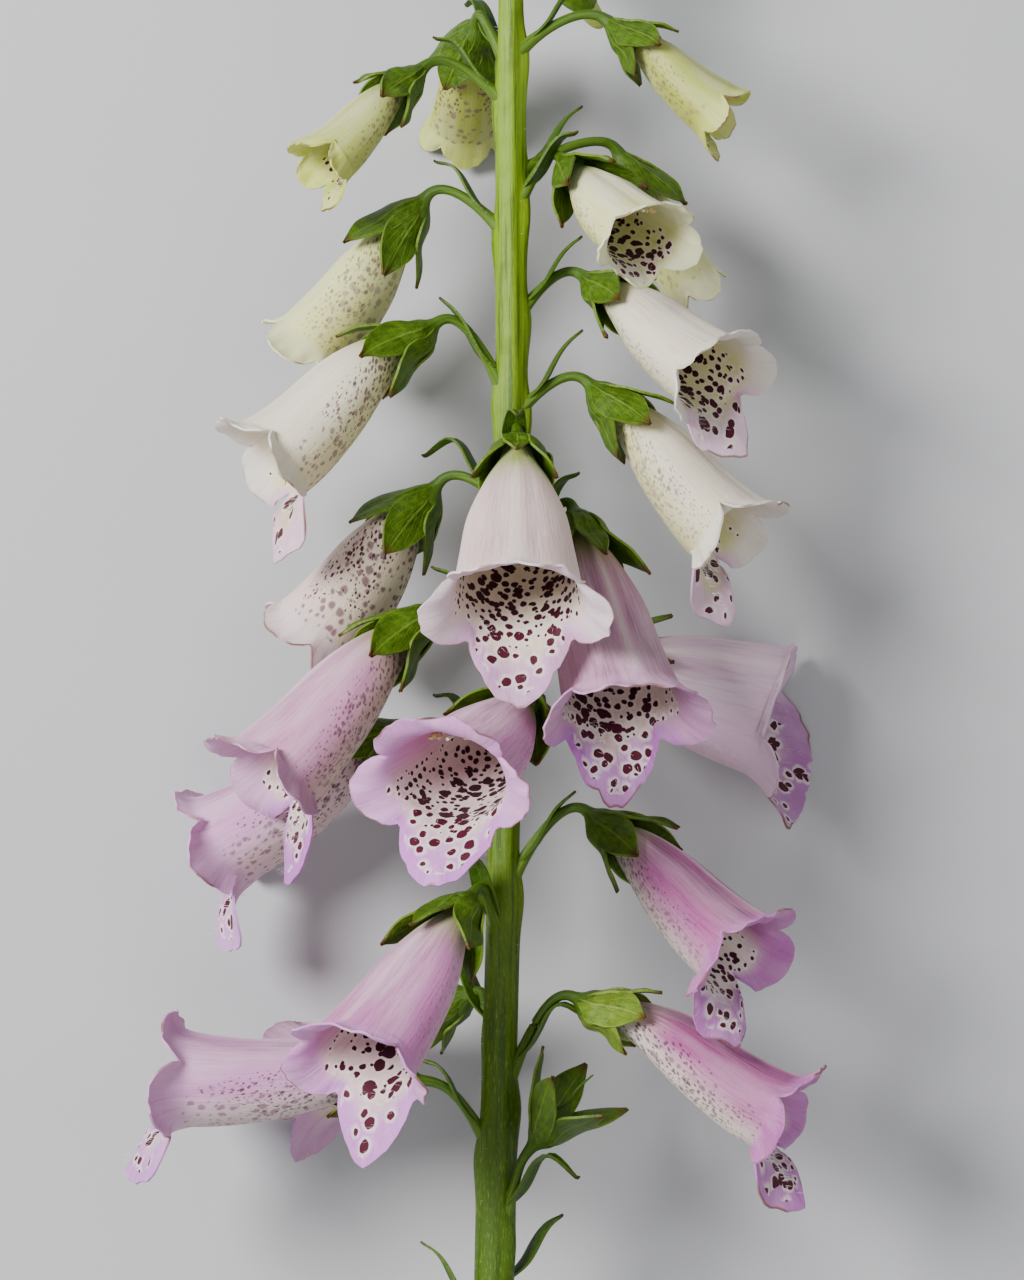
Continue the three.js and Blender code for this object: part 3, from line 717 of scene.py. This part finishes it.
def insidePaint(name, tints, spots, creaseShare, seed):
    paint = Paint(name)
    across, along = paint.skin()
    fromFloor, half = paint.pattern("share")
    u = half * 2
    veins, broad, fine = petalVeins(paint, fromFloor, along, seed)

    lipward = paint.step(u + (broad - 0.5) * 0.7 + (fromFloor - 0.2).bigger(0) * 1.1, 1.15, 1.70)
    base = paint.mix(paint.step(u, 0.2, 0.75), tints["inside"], tints["floor"])
    base = paint.mix(paint.step(fromFloor, 0.4, 0.62) * paint.step(u, 0.3, 0.7), base, tints["tube"])
    ears = paint.step(fromFloor, 0.24, 0.4) * 0.9
    base = paint.mix(lipward, base, paint.mix(ears, tints["innerLip"], tints["outerLip"]))
    base = petalSkin(paint, base, veins, broad, fine, tints["crease"], creaseShare * 0.6)

    field = spotField(paint, across, along, fromFloor, u, seed, spots)
    halo = paint.step(field, 0.15, 1.15, spots["halo"], 0.0) * paint.step(u, 0.7, 1.1, 0.3, 1.0)
    base = paint.mix(halo, base, "eadcd8")
    dark = paint.mix(paint.step(u, 0.8, 1.25), spotTint["deep"], spotTint["lip"])
    base = paint.mix(paint.step(field, -0.02, 0.15, 1.0, 0.0), base, dark)
    base = lipEdge(paint, base, u, broad)
    relief = veins * 0.7 + fine * 0.3 + paint.step(field, -0.1, 0.3, 0.25, 0.0)
    return petalFinish(paint, base, relief, fine)


def outsidePaint(name, tints, creaseShare, showing, seed):
    ridgeShare = 0.3 + creaseShare
    paint = Paint(name)
    across, along = paint.skin()
    fromFloor, half = paint.pattern("share")
    u = half * 2
    veins, broad, fine = petalVeins(paint, fromFloor, along, seed)

    base = paint.mix(paint.step(u + (veins - 0.5) * 0.3, 0.08, 0.44), tints["neck"], tints["tube"])
    floorward = paint.step(fromFloor + (veins - 0.5) * 0.1 + u * 0.12, 0.3, 0.62, 1.0, 0.0)
    floorward = floorward * paint.step(u, 1.1, 1.6, 0.9, 0.0) * paint.step(u, 0.05, 0.3)
    base = paint.mix(floorward, base, tints["floor"])
    base = paint.mix(paint.step(u + (broad - 0.5) * 0.5, 0.85, 1.4) * 0.85, base, tints["outerLip"])
    # painted highlight: the middle of the roof, which faces the light, is lightened towards f0e0dc, lighter
    # than its flanks
    pale = paint.step(fromFloor, 0.5, 0.9) * paint.step(u, 0.15, 0.45) * paint.step(u, 0.75, 1.15, 1.0, 0.0)
    base = paint.mix(pale * paint.step(broad, 0.25, 0.7, 0.1, 0.5) * (1 - creaseShare), base, "f0e0dc")
    middle = paint.step(u, 0.1, 0.3) * paint.step(u, 0.95, 1.4, 1.0, 0.0)
    stripe = paint.step(fromFloor, 0.66, 0.87) * paint.step(fromFloor, 0.925, 0.965, 1.0, 0.0) * middle
    base = paint.mix(stripe * paint.step(veins, 0.25, 0.7) * creaseShare, base, tints["crease"])
    ridge = paint.step(fromFloor, 0.955, 0.99) * middle
    base = paint.mix(ridge * paint.step(veins, 0.3, 0.6, 0.15, 0.5) * ridgeShare, base, "f4ece0")
    base = petalSkin(paint, base, veins, broad, fine, tints["crease"], creaseShare)

    # soft brown-purple dots, as of spots that show through, and small freckles towards the neck
    place = spotPlace(paint, across, along, seed, 1.2, 0.5)
    patchy = paint.step(broad, 0.35, 0.6, 0.45, 1.0)
    low = paint.step(fromFloor, 0.30, 0.56, 1.0, 0.0)
    low = low * paint.step(u, 0.05, 0.2) * paint.step(u, 0.85, 1.2, 1.0, 0.0)
    layer = spotLayer(paint, place, 2.0, 0.2, 1.0, 0.9, low * patchy)
    soft = paint.step(layer, -0.35, 0.22, 0.8 * showing, 0.0)
    base = paint.mix(soft, base, spotTint["shown"])
    place = spotPlace(paint, across, along * 0.8, seed + 3, 0.8, 1.1)
    flank = paint.step((fromFloor - 0.34).absolute(), 0.14, 0.28, 1.0, 0.0)
    flank = flank * paint.step(u, 0.06, 0.2) * paint.step(u + (broad - 0.5) * 1.4, 0.4, 0.95, 1.0, 0.0)
    dots = paint.step(spotLayer(paint, place, 1.05, 0.12, 0.46, 0.85, flank), -0.1, 0.08, showing, 0.0)
    base = paint.mix(dots, base, spotTint["freckle"])
    base = lipEdge(paint, base, u, broad)
    return petalFinish(paint, base, veins * 0.7 + fine * 0.3, fine)


def makeBell(index):
    flower = blooms[index]
    number = f"{index + 1:02d}"
    looks, spotKind, creaseShare, showing = bellChoices[index]
    tints = dict(zip(tintNames, map(tone, bellLooks[looks])))
    spots = dict(zip(spotNames, spotLooks[spotKind]))
    outer = outsidePaint(f"petalOutside_{number}", tints, creaseShare, showing, index + 1)
    inner = insidePaint(f"petalInside_{number}", tints, spots, creaseShare, index + 1)
    shape = bellSkin(flower, index + 1)
    columns, rows = bellShape["columns"], bellShape["rows"]
    bell = sheet(f"bell_{number}", columns, rows, shape, [outer, inner], bellShape["skin"])
    slot = "petal_cream" if index < 6 else "petal_blush" if index < 12 else "petal_lilac"
    settle(bell, f"corolla_{number}")


for index in range(len(blooms)):
    makeBell(index)
print("bells made")

# ---- greens ----


def leafPaint(name, deep, light, pale, tip):
    # a net of veins and a pale rib on mottled green, with a dry tip
    paint = Paint(name)
    across, along = paint.skin()
    s, t = paint.pattern("share")
    side = (s - 0.5).absolute()
    mottle = paint.grain(paint.vector(across, along, 0), 0.55, 3.0)
    blades = paint.grain(paint.vector(across * 3.0, along * 0.4, 4), 1.0, 3.0)
    net = paint.node("ShaderNodeTexVoronoi", {"voronoi_dimensions": "2D", "feature": "DISTANCE_TO_EDGE"},
                     {"Vector": paint.vector(across, along), "Scale": 0.8})
    ribs = along - side * 22
    sideVein = paint.node("ShaderNodeTexWave", {"bands_direction": "X"},
                          {"Vector": paint.vector(ribs, 0), "Scale": 0.09, "Distortion": 0.8, "Detail": 1.0})
    vein = paint.step(sideVein, 0.80, 0.97) * 0.5
    midrib = paint.step(side, 0.012, 0.05, 1.0, 0.0)
    base = paint.mix(paint.step(mottle, 0.15, 0.85), deep, light)
    base = paint.mix(paint.step(blades, 0.5, 0.8) * 0.25, base, light)
    base = paint.mix((midrib * 0.42).bigger(vein * 0.16), base, pale)
    base = paint.mix(paint.step(net, 0.0, 0.10, 0.07, 0.0), base, pale)
    base = paint.mix(paint.step(side, 0.465, 0.498) * 0.4, base, pale)
    dry = paint.step(t + (mottle - 0.5) * 0.3, 0.84, 0.99)
    base = paint.mix(dry * 0.85, base, tip)
    relief = 1 - midrib - vein + paint.step(net, 0.0, 0.15) * 0.4
    return paint.flesh(0.12, (0.6, 1.0, 0.3), 0.0008, 0.25, {
        "Base Color": base,
        "Roughness": paint.step(mottle, 0.2, 0.8, 0.42, 0.6),
        "Normal": paint.bump(relief, 0.0003, 0.5),
    })


def stalkPaint(name, low, high, stripe, light):
    # green skin with darker and paler lines along it
    paint = Paint(name)
    across, along = paint.skin()
    s, t = paint.pattern("share")
    turn = s * (2 * math.pi)
    ring = paint.vector(turn.cosine(), turn.sine(), along * 0.012)
    lines = paint.grain(ring, 3.6, 3.0, 0.6)
    hairlines = paint.grain(paint.node("ShaderNodeVectorMath", {"operation": "MULTIPLY"},
                                       {0: ring, 1: (1, 1, 3.5)}), 14.0, 3.0, 0.55)
    blots = paint.grain(paint.vector(across, along), 0.16, 3.0)
    base = paint.mix(paint.step(t, 0.0, 0.75), low, high)
    base = paint.mix(paint.step(lines, 0.45, 0.66) * 0.75, base, stripe)
    base = paint.mix(paint.step(hairlines, 0.52, 0.75) * 0.4, base, light)
    base = paint.mix(paint.step(blots, 0.5, 0.75) * 0.25, base, stripe)
    return paint.flesh(0.15, (0.7, 1.0, 0.3), 0.001, 0.3, {
        "Base Color": base,
        "Roughness": paint.step(blots, 0.2, 0.8, 0.4, 0.55),
        "Normal": paint.bump(hairlines * 0.5 + lines * 0.5, 0.0004, 0.5),
    })


sepalPaints = {
    "usual": leafPaint("sepalGreen", "2a4600", "547408", "7e9434", "4e2408"),
    # the pale copy is painted light: a lighter green for the sepals of bloom 20, as where light falls on them
    # from above
    "pale": leafPaint("sepalPaintedLight", "4a6c0c", "7e962c", "a2b25a", "5a3410"),
}
bractPaint = leafPaint("bractGreen", "203e00", "42620a", "647e22", "3c1e08")
flowerStalkPaint = stalkPaint("flowerStalkGreen", "5c7a18", "456410", "2c4c00", "8ca43c")
# the stem's low colour is partly its own olive and partly painted shade, darkened for the shadow the flowers
# cast over its middle
stemPaint = stalkPaint("stemGreen", "405c00", "7a9a06", "2a4600", "9cb83a")

calyxShape = {
    "cupLength": 4.2,
    "cupRadius": 4.9,
    "sepalLength": 13.4,
    "sepalWidth": 10.2,
    "narrowSepalWidth": 5,
    "stalkRadius": 1.15,
    "bractLength": 19,
    "bractWidth": 4.8,
    "skin": 0.5,
    "tableClear": 0.6,
    "outline": [(0, 0.7), (0.2, 0.9), (0.42, 1.0), (0.62, 0.9), (0.8, 0.6), (0.92, 0.27), (1, 0.02)],
    "overlap": 0.45,
}


def leafScale(flower):
    return 0.5 + flower["length"] / 108


def sepalSheet(flower, axes, angle, width, seed):
    scale = leafScale(flower)
    opened = flower["open"]
    length = calyxShape["sepalLength"] * scale * flower["leafy"]
    length *= flower["crown"] if angle == 0 else 1
    tubeLength = bellShape["throatAt"] * flower["length"]
    neck = bellShape["mouthRadius"] * flower["length"] * flower["girth"]
    cup = calyxShape["cupRadius"] * scale
    foot = max(cup - neck * radiusShare(0) - 0.2, 1.2)
    rear = -0.8 * calyxShape["cupLength"]
    heel = 1.5 - neck * radiusShare(0)
    random.seed(300 + seed)
    lift = random.uniform(-0.6, 1.4)
    aways = [(rear, heel), (0, foot + 0.35), (0.34 * length, 2.3 + opened * 1.0),
             (0.68 * length, 2.2 + opened * 2.6 + lift * 0.5), (length, 1.6 + opened * 5.2 + lift)]

    def shape(s, t):
        side = 2 * s - 1
        along = lerp(rear, length, t)
        u = max(along, 0) / tubeLength
        spread = neck * radiusShare(u) + curveAt(aways, along)
        edge = noise.noise(Vector((side * 0.4, t * 5, seed * 3.3)))
        half = min(width * scale, 1.8 * spread) / 2 * curveAt(calyxShape["outline"], t) * (1 + 0.1 * edge)
        wave = noise.noise(Vector((side * 1.3, t * 2.6, seed * 5.7)))
        keel = 0.35 * math.exp(-(side / 0.12) ** 2) * (1 - t)
        curl = 0.9 * side * side * ease(t, 0.15, 0.5) * (1 - ease(t, 0.7, 1.0))
        over = calyxShape["overlap"] * side * (1 - ease(t, 0.3, 0.7))
        away = curveAt(aways, along) + keel + curl + over + 0.6 * wave * ease(t, 0.15, 0.5)
        aside = side * half
        turn = angle + math.degrees(aside / spread)
        reach, up, sideways, _ = skinPoint(flower, u, turn, away)
        place = aboveTable(axes.place(reach + min(along, 0), up, sideways), calyxShape["tableClear"])
        return place, onSkin(aside + skinMiddle, along), (s, t)

    green = sepalPaints[flower["green"]]
    return sheet("sepal", 16, 26, shape, [green], calyxShape["skin"])


def stalkCurve(flower, axes):
    root, radius = stemAt(flower["rootY"])
    end = axes.place(-calyxShape["cupLength"], 0, 0)
    outward = end - root
    outward.y = 0
    outward.normalize()
    lift = max(4, 0.75 * (end.y - flower["rootY"]))
    first = root + outward * (radius + 3) + Vector((0, lift, 0))
    second = end - axes.out * 6
    points = []
    for k in range(13):
        t = k / 12
        a, b, c, d = (1 - t) ** 3, 3 * t * (1 - t) ** 2, 3 * t * t * (1 - t), t ** 3
        points.append(root * a + first * b + second * c + end * d)
    return points, outward


def bractSheet(foot, outward, length, width, hook, seed):
    sideways = Vector((0, 1, 0)).cross(outward)
    outs = [-0.4, 3, 6.5, 10]
    ups = [0, 0.2, 0.55, 0.8]

    def shape(s, t):
        side = 2 * s - 1
        out = through(outs, t) * (1 + 0.25 * hook * ease(t, 0.6, 1))
        up = through(ups, t) * length - hook * 3.2 * ease(t, 0.72, 1.0)
        half = width / 2 * curveAt([(0, 0.5), (0.33, 1.0), (0.66, 0.8), (0.9, 0.34), (1, 0.03)], t)
        wave = noise.noise(Vector((side, t * 3, seed * 3.9)))
        channel = -0.9 * side * side + 0.5 * wave
        place = foot + outward * (out - channel * 0.7) + Vector((0, up - channel * 0.5, 0))
        place = aboveTable(place + sideways * (side * half), calyxShape["tableClear"])
        return place, onSkin(side * half + skinMiddle, t * length), (s, t)

    return sheet("bract", 10, 22, shape, [bractPaint], calyxShape["skin"])


def makeCalyx(flower, seed):
    axes = Axes(flower)
    scale = leafScale(flower)
    curve, outward = stalkCurve(flower, axes)
    facing = axes.roof.copy()
    cup = calyxShape["cupRadius"] * scale
    radii = [1.9, 1.5, 1.2, 1.02, 0.92, 0.86, 0.84, 0.83, 0.83, 0.84, 0.88, 0.96, 1.15]
    radii = [r * calyxShape["stalkRadius"] for r in radii]
    points = curve + [axes.place(along, 0, 0) for along in (-3.1, -2.0, -0.9, -0.35)]
    radii = radii + [0.42 * cup, 0.62 * cup, 0.74 * cup, 0.7 * cup]
    stalk = tube("stalk", points, radii, 20, 46, flowerStalkPaint, facing)
    pieces = [stalk]
    for k, angle in enumerate([0, 72, 144, -144, -72]):
        width = calyxShape["narrowSepalWidth"] if angle == 0 else calyxShape["sepalWidth"]
        pieces.append(sepalSheet(flower, axes, angle, width, seed * 5 + k))
    random.seed(seed * 13)
    hook = flower.get("hook", random.choice([0.2, 0.6, 1.0]))
    foot = through(curve, 0.2)
    length = calyxShape["bractLength"] * scale * flower["bract"]
    toFlower = flower["at"] - foot
    toFlower.y = 0
    toFlower.normalize()
    pieces.append(bractSheet(foot, toFlower, length, calyxShape["bractWidth"] * scale, hook, seed))
    return pieces


for index, flower in enumerate(blooms):
    number = f"{index + 1:02d}"
    leaves = joined(f"leaves_{number}", makeCalyx(flower, index + 1))
    settle(leaves, f"calyx_{number}")


def makeSpentCalyx():
    # the bell has dropped, which leaves the young seed pod and its long style
    pieces = makeCalyx(spentBloom, 22)
    axes = Axes(spentBloom)
    pod = [axes.place(along, 0, 0) for along in (-0.6, 1.2, 3.4, 5.6, 7.4)]
    pieces.append(tube("pod", pod, [1.6, 2.6, 2.5, 1.5, 0.45], 16, 14, flowerStalkPaint, axes.roof))
    thread = [axes.place(7.0, 0, 0), axes.place(11, 0.6, 0.4), axes.place(15, 0.2, -0.5)]
    pieces.append(tube("style", thread, [0.35, 0.28, 0.2], 8, 12, flowerStalkPaint, axes.roof))
    return pieces


spent = joined("leaves_22", makeSpentCalyx())
settle(spent, "calyx_22")
print("calyxes made")

# ---- stem and buds ----

stemShape = {
    "columns": 72, "rows": 340, "lines": 0.10, "ridge": 0.42, "swelling": 0.7, "ridgeLength": 46,
    "cutAt": -152, "tipAt": 214, "capRows": 0.012,  # the share of its rows that closes an end
}


def traces():
    # where each flower stalk runs down into the stem: height and direction
    found = []
    for flower in blooms + [spentBloom]:
        _, outward = stalkCurve(flower, Axes(flower))
        found.append((flower["rootY"], math.atan2(-outward.z, outward.x)))
    return found


stalkTraces = traces()


def stemSkin(s, t):
    low, high, cap = stemShape["cutAt"], stemShape["tipAt"], stemShape["capRows"]
    y = lerp(low, high, min(max((t - cap) / (1 - 2 * cap), 0.0), 1.0))
    middle, radius = stemAt(y)
    turn = 2 * math.pi * s
    radius += stemShape["lines"] * math.cos(5 * turn + y * 0.004) * min(1, radius / 3)
    radius += 0.06 * noise.noise(Vector((math.cos(turn) * 3, math.sin(turn) * 3, y * 0.02)))
    for rootY, angle in stalkTraces:
        if rootY - 60 < y < rootY + 12:
            off = (turn - angle + math.pi) % (2 * math.pi) - math.pi
            below = ease(y, rootY - stemShape["ridgeLength"], rootY) * (1 - ease(y, rootY + 1, rootY + 9))
            swell = math.exp(-((y - rootY) / 5.5) ** 2) * stemShape["swelling"]
            radius += (stemShape["ridge"] * below + swell) * math.exp(-(off / 0.36) ** 2)
    radius *= ease(t, 0, cap / 2) * (1 - ease(t, 1 - cap / 2, 1.0))
    place = middle + Vector((radius * math.cos(turn), 0, -radius * math.sin(turn)))
    return place, onSkin(turn * 3, y - low), (s, (y - low) / (high - low))


mainStem = sheet("mainStem", stemShape["columns"], stemShape["rows"], stemSkin, [stemPaint])
lowerBracts = [(-134, 169, 18), (-128, -20, 16)]  # height, degrees round the stem, length
stemPieces = [mainStem]
for y, turn, length in lowerBracts:
    middle, radius = stemAt(y)
    outward = Vector((math.cos(math.radians(turn)), 0, math.sin(math.radians(turn))))
    stemPieces.append(bractSheet(middle + outward * (radius - 0.4), outward, length, 0.3 * length, 0.3, y))
settle(joined("mainStem", stemPieces), "stem")

goldenAngle = 137.5
budRule = {
    "count": 18, "turn": -42, "showing": 6, "firstY": 135, "lastY": 211,
    "firstLength": 19, "lastLength": 4.5, "plumpness": 0.24, "sides": 12, "bractSkin": 0.35,
    "profile": [(0, 0.34), (0.12, 0.72), (0.35, 1.0), (0.62, 0.86), (0.82, 0.5), (0.94, 0.22), (1, 0.02)],
}
budPaint = leafPaint("budGreen", "3a5c08", "6a8c1c", "8aa43a", "6a6a18")


def budPetalPaint():
    paint = Paint("budPetal")
    cloud = paint.grain(paint.insidePiece(), 900.0, 2.0)
    return paint.finish({"Base Color": paint.mix(cloud, "9aa83c", "c4cc6c"), "Roughness": 0.55})


nibPaint = budPetalPaint()


def makeBud(index):
    # a pointed egg wrapped in its sepals, on a short nodding stalk
    share = index / (budRule["count"] - 1)
    y = lerp(budRule["firstY"], budRule["lastY"], share ** 0.8)
    length = lerp(budRule["firstLength"], budRule["lastLength"], share ** 0.7)
    sides = budRule["sides"]
    side = 360 / sides
    asked = -(goldenAngle * index + budRule["turn"]) / side
    facing = -math.radians(math.floor(asked + 0.5) * side)  # towards the nearest side of the solid's stem
    middle, radius = stemAt(y)
    outward = Vector((math.cos(facing), 0, math.sin(facing)))
    root = middle + outward * (radius * 0.6)
    along = (outward * 0.8 + Vector((0, lerp(-0.9, 0.7, share), 0))).normalized()
    foot = middle + outward * (radius + 0.28 * length) + Vector((0, 0.22 * length, 0))
    up = along.cross(Vector((0, 1, 0)).cross(outward)).normalized()
    across = along.cross(up)
    full = budRule["plumpness"] * length
    stalkPoints = [root, root.lerp(foot, 0.5) + Vector((0, 0.05 * length, 0)), foot + along * 0.03 * length]
    stalkRadii = [0.42 * full, 0.36 * full, 0.4 * full]
    pieces = [tube("budStalk", stalkPoints, stalkRadii, 10, 8, flowerStalkPaint, up)]

    def wrapped(s, t):
        turn = 2 * math.pi * s
        ridge = 0.07 * abs(math.sin(2.5 * turn + 0.4)) * (1 - t * 0.4) - 0.05
        size = full * (curveAt(budRule["profile"], t) + ridge * ease(t, 0.02, 0.2)) * ease(t, -0.001, 0.06)
        place = foot + along * (t * length) + up * (size * math.cos(turn)) + across * (size * math.sin(turn))
        leaf = (5 * s + 0.13) % 1
        return place, onSkin(s * 6.3 * full, t * length), (leaf, t * 0.92)

    pieces.append(sheet("budLeaves", 30, 18, wrapped, [budPaint]))
    if index < budRule["showing"]:  # the petals of the oldest buds just show
        nib = [foot + along * (length * k) for k in (0.72, 0.9, 1.03, 1.08)]
        nibRadii = [0.5 * full, 0.46 * full, 0.3 * full, 0.08 * full]
        pieces.append(tube("budPetal", nib, nibRadii, 14, 10, nibPaint, up))
    bractFoot = middle + outward * (radius * 0.9) - Vector((0, 0.06 * length, 0))

    def bractShape(s, t):
        side = 2 * s - 1
        half = 0.11 * length * curveAt([(0, 0.7), (0.35, 1.0), (0.75, 0.55), (1, 0.03)], t)
        out = through([0.0, 0.2, 0.34, 0.5], t) * length
        rise = through([0, 0.1, 0.34, 0.5], t) * length
        place = bractFoot + outward * (out + 0.3 * side * side) + Vector((0, rise - 0.08 * length, 0))
        place = place + Vector((0, 1, 0)).cross(outward) * (side * half)
        return place, onSkin(side * half + skinMiddle, t * length), (s, t)

    pieces.append(sheet("budBract", 6, 10, bractShape, [bractPaint], budRule["bractSkin"]))
    return pieces


budPieces = [piece for index in range(budRule["count"]) for piece in makeBud(index)]
settle(joined("budTip", budPieces), None)
print("stem and buds made")

# ---- stamens ----

stamenShape = {
    "baseRadius": 2.4, "baseLength": 2.4, "filamentRadius": 0.38, "antherRadius": 1.0, "antherLength": 3.4,
    "inBells": [5, 7, 8, 9, 10, 12, 13, 14, 15, 16, 17, 18, 19, 20],
    # how far aside each ends, at which share of the tube, and how far above the ovary's middle it starts
    "tips": [(-4, 0.86, 0), (4, 0.86, 0), (-2.2, 0.64, -1.1), (2.2, 0.64, -1.1), (0, 0.95, 0.9)],
}


def speckledPaint(name, base, speck, share):
    paint = Paint(name)
    place = paint.insidePiece()
    dots = paint.node("ShaderNodeTexVoronoi", {}, {"Vector": place, "Scale": 1900.0})
    cloud = paint.grain(place, 700.0, 2.0)
    colour = paint.mix(paint.step(cloud, 0.3, 0.7) * 0.4, base, "f2ecc4")
    colour = paint.mix(paint.step(dots, 0.18, 0.32, share, 0.0), colour, speck)
    return paint.finish({"Base Color": colour, "Roughness": 0.65, "Normal": paint.bump(cloud, 0.0002, 0.4)})


threadPaint = speckledPaint("threadCream", "e8e2c4", "caa7b0", 0.2)
antherPaint = speckledPaint("antherYellow", "dcc77e", "5c2030", 0.8)
ovaryPaint = speckledPaint("ovaryGreen", "7c9630", "4c6c10", 0.3)


def makeStamens(index):
    flower = blooms[index]
    axes = Axes(flower)
    scale = flower["length"] / 54
    length = bellShape["throatAt"] * flower["length"]
    mouth = bellShape["mouthRadius"] * flower["length"] * flower["girth"]

    def hang(u):
        return bellShape["belly"] * flower["length"] * math.sin(math.pi * u)

    def underRoof(u):
        return mouth * radiusShare(u) * bellShape["flatness"] - hang(u) - 2.6

    floor = 0.15 * length + 0.4
    top = floor + stamenShape["baseLength"]
    base = stamenShape["baseRadius"] * scale
    pod = [axes.place(along, -hang(0.15), 0) for along in (floor - 2.5, floor, top, top + 2.5)]
    podRadii = [0.5 * base, 0.95 * base, 0.8 * base, 0.3 * base]
    pieces = [tube("ovary", pod, podRadii, 14, 12, ovaryPaint, axes.roof)]
    thin, fat = stamenShape["filamentRadius"], stamenShape["antherRadius"]
    antherRadii = [0.25 * fat, 0.62 * fat, 0.62 * fat, 0.25 * fat]
    for aside, u, startUp in stamenShape["tips"]:
        start = axes.place(top - 1, startUp * scale - hang(0.15), 0.35 * aside * scale)
        middleUp = underRoof(0.5 * u + 0.12) + 0.5 * startUp
        middle = axes.place(lerp(top, u * length, 0.5), middleUp, 0.75 * aside * scale)
        tip = axes.place(u * length, underRoof(u), aside * scale)
        points = [start, middle, tip]
        if aside == 0:
            pieces.append(tube("style", points, [thin, 0.8 * thin, thin], 8, 16, threadPaint, axes.roof))
            continue
        pieces.append(tube("thread", points, [thin, thin, 0.8 * thin], 8, 16, threadPaint, axes.roof))
        half = 0.5 * stamenShape["antherLength"]
        for lean in (-1, 1):
            turned = (axes.out + axes.across * (0.35 * lean)).normalized()
            ends = [tip + turned * (half * k) + axes.across * (0.45 * lean) for k in (-1, -0.4, 0.4, 1)]
            pieces.append(tube("anther", ends, antherRadii, 10, 10, antherPaint, axes.roof))
    return pieces


for number in stamenShape["inBells"]:
    threads = joined(f"threads_{number:02d}", makeStamens(number - 1))
    settle(threads, f"stamens_{number:02d}")
print("stamens made")

# ---- fine hairs on the lips and stem ----

hairShape = {
    "perLip": 60, "onStem": 260, "radius": 0.032, "length": 2.5, "stemRadius": 0.035, "stemLength": 0.8,
    "lipSeed": 700, "stemSeed": 911,
}


def hairPaint():
    paint = Paint("fineHair")
    cloud = paint.grain(paint.insidePiece(), 300.0, 1.0)
    colour = paint.mix(cloud, "e9e6dc", "ffffff")
    return paint.finish({"Base Color": colour, "Roughness": 0.5})


class Hairs:
    # thin three-sided spikes, gathered into one mesh
    def __init__(self):
        self.points = []
        self.faces = []

    def grow(self, root, direction, bend, length, radius):
        side = direction.orthogonal().normalized()
        other = direction.cross(side)
        rings = []
        for share, size in ((0, 1), (0.5, 0.8)):
            middle = root + direction * (length * share) + bend * (length * share * share)
            start = len(self.points)
            for k in range(3):
                turn = 2 * math.pi * k / 3
                outward = side * math.cos(turn) + other * math.sin(turn)
                self.points.append(toPart(middle + outward * (radius * size)))
            rings.append([start, start + 1, start + 2])
        tip = len(self.points)
        self.points.append(toPart(root + direction * length + bend * length))
        low, high = rings
        self.faces.append(low[::-1])
        for k in range(3):
            n = (k + 1) % 3
            self.faces.append([low[k], low[n], high[n], high[k]])
            self.faces.append([high[k], high[n], tip])

    def make(self, name, material):
        mesh = bpy.data.meshes.new(name)
        mesh.from_pydata(self.points, [], self.faces)
        mesh.materials.append(material)
        piece = bpy.data.objects.new(name, mesh)
        bpy.context.scene.collection.objects.link(piece)
        only(piece)
        bpy.ops.object.shade_smooth()
        return piece


def lipHairs():
    hairs = Hairs()
    for index, flower in enumerate(blooms):
        random.seed(hairShape["lipSeed"] + index)
        axes = Axes(flower)
        for _ in range(hairShape["perLip"]):
            angle = 180 + random.gauss(0, 26)
            u = random.uniform(1.0, 1.9)
            here = skinPoint(flower, u, angle, -bellShape["skin"])
            near = skinPoint(flower, u, angle, -bellShape["skin"] - 1.0)
            root = axes.place(*here[:3])
            up = (axes.place(*near[:3]) - root).normalized()
            direction = up + axes.out * random.uniform(0.1, 0.7) + axes.across * random.uniform(-0.3, 0.3)
            direction.normalize()
            length = hairShape["length"] * random.uniform(0.6, 1.3) * flower["length"] / 50
            if root.z + stemZero.z < 1.5 or (root + direction * length).z + stemZero.z < 0.5:
                continue
            bend = Vector((random.uniform(-0.2, 0.2), random.uniform(-0.3, 0), random.uniform(-0.2, 0.2)))
            hairs.grow(root - up * 0.3, direction, bend, length, hairShape["radius"])
    return hairs.make("lipHairs", fineHair)


def stemHairs():
    hairs = Hairs()
    random.seed(hairShape["stemSeed"])
    for _ in range(hairShape["onStem"]):
        y = random.uniform(-150, 130)
        turn = random.choice([0, math.pi]) + random.gauss(0, 0.35)
        middle, radius = stemAt(y)
        direction = Vector((math.cos(turn), random.uniform(-0.2, 0.4), math.sin(turn))).normalized()
        root = middle + direction * (radius - 0.1)
        length = hairShape["stemLength"] * random.uniform(0.6, 1.3)
        hairs.grow(root, direction, Vector((0, 0.1, 0)), length, hairShape["stemRadius"])
    return hairs.make("stemHairs", fineHair)


fineHair = hairPaint()
settle(lipHairs(), None)
settle(stemHairs(), None)
print("hairs made")
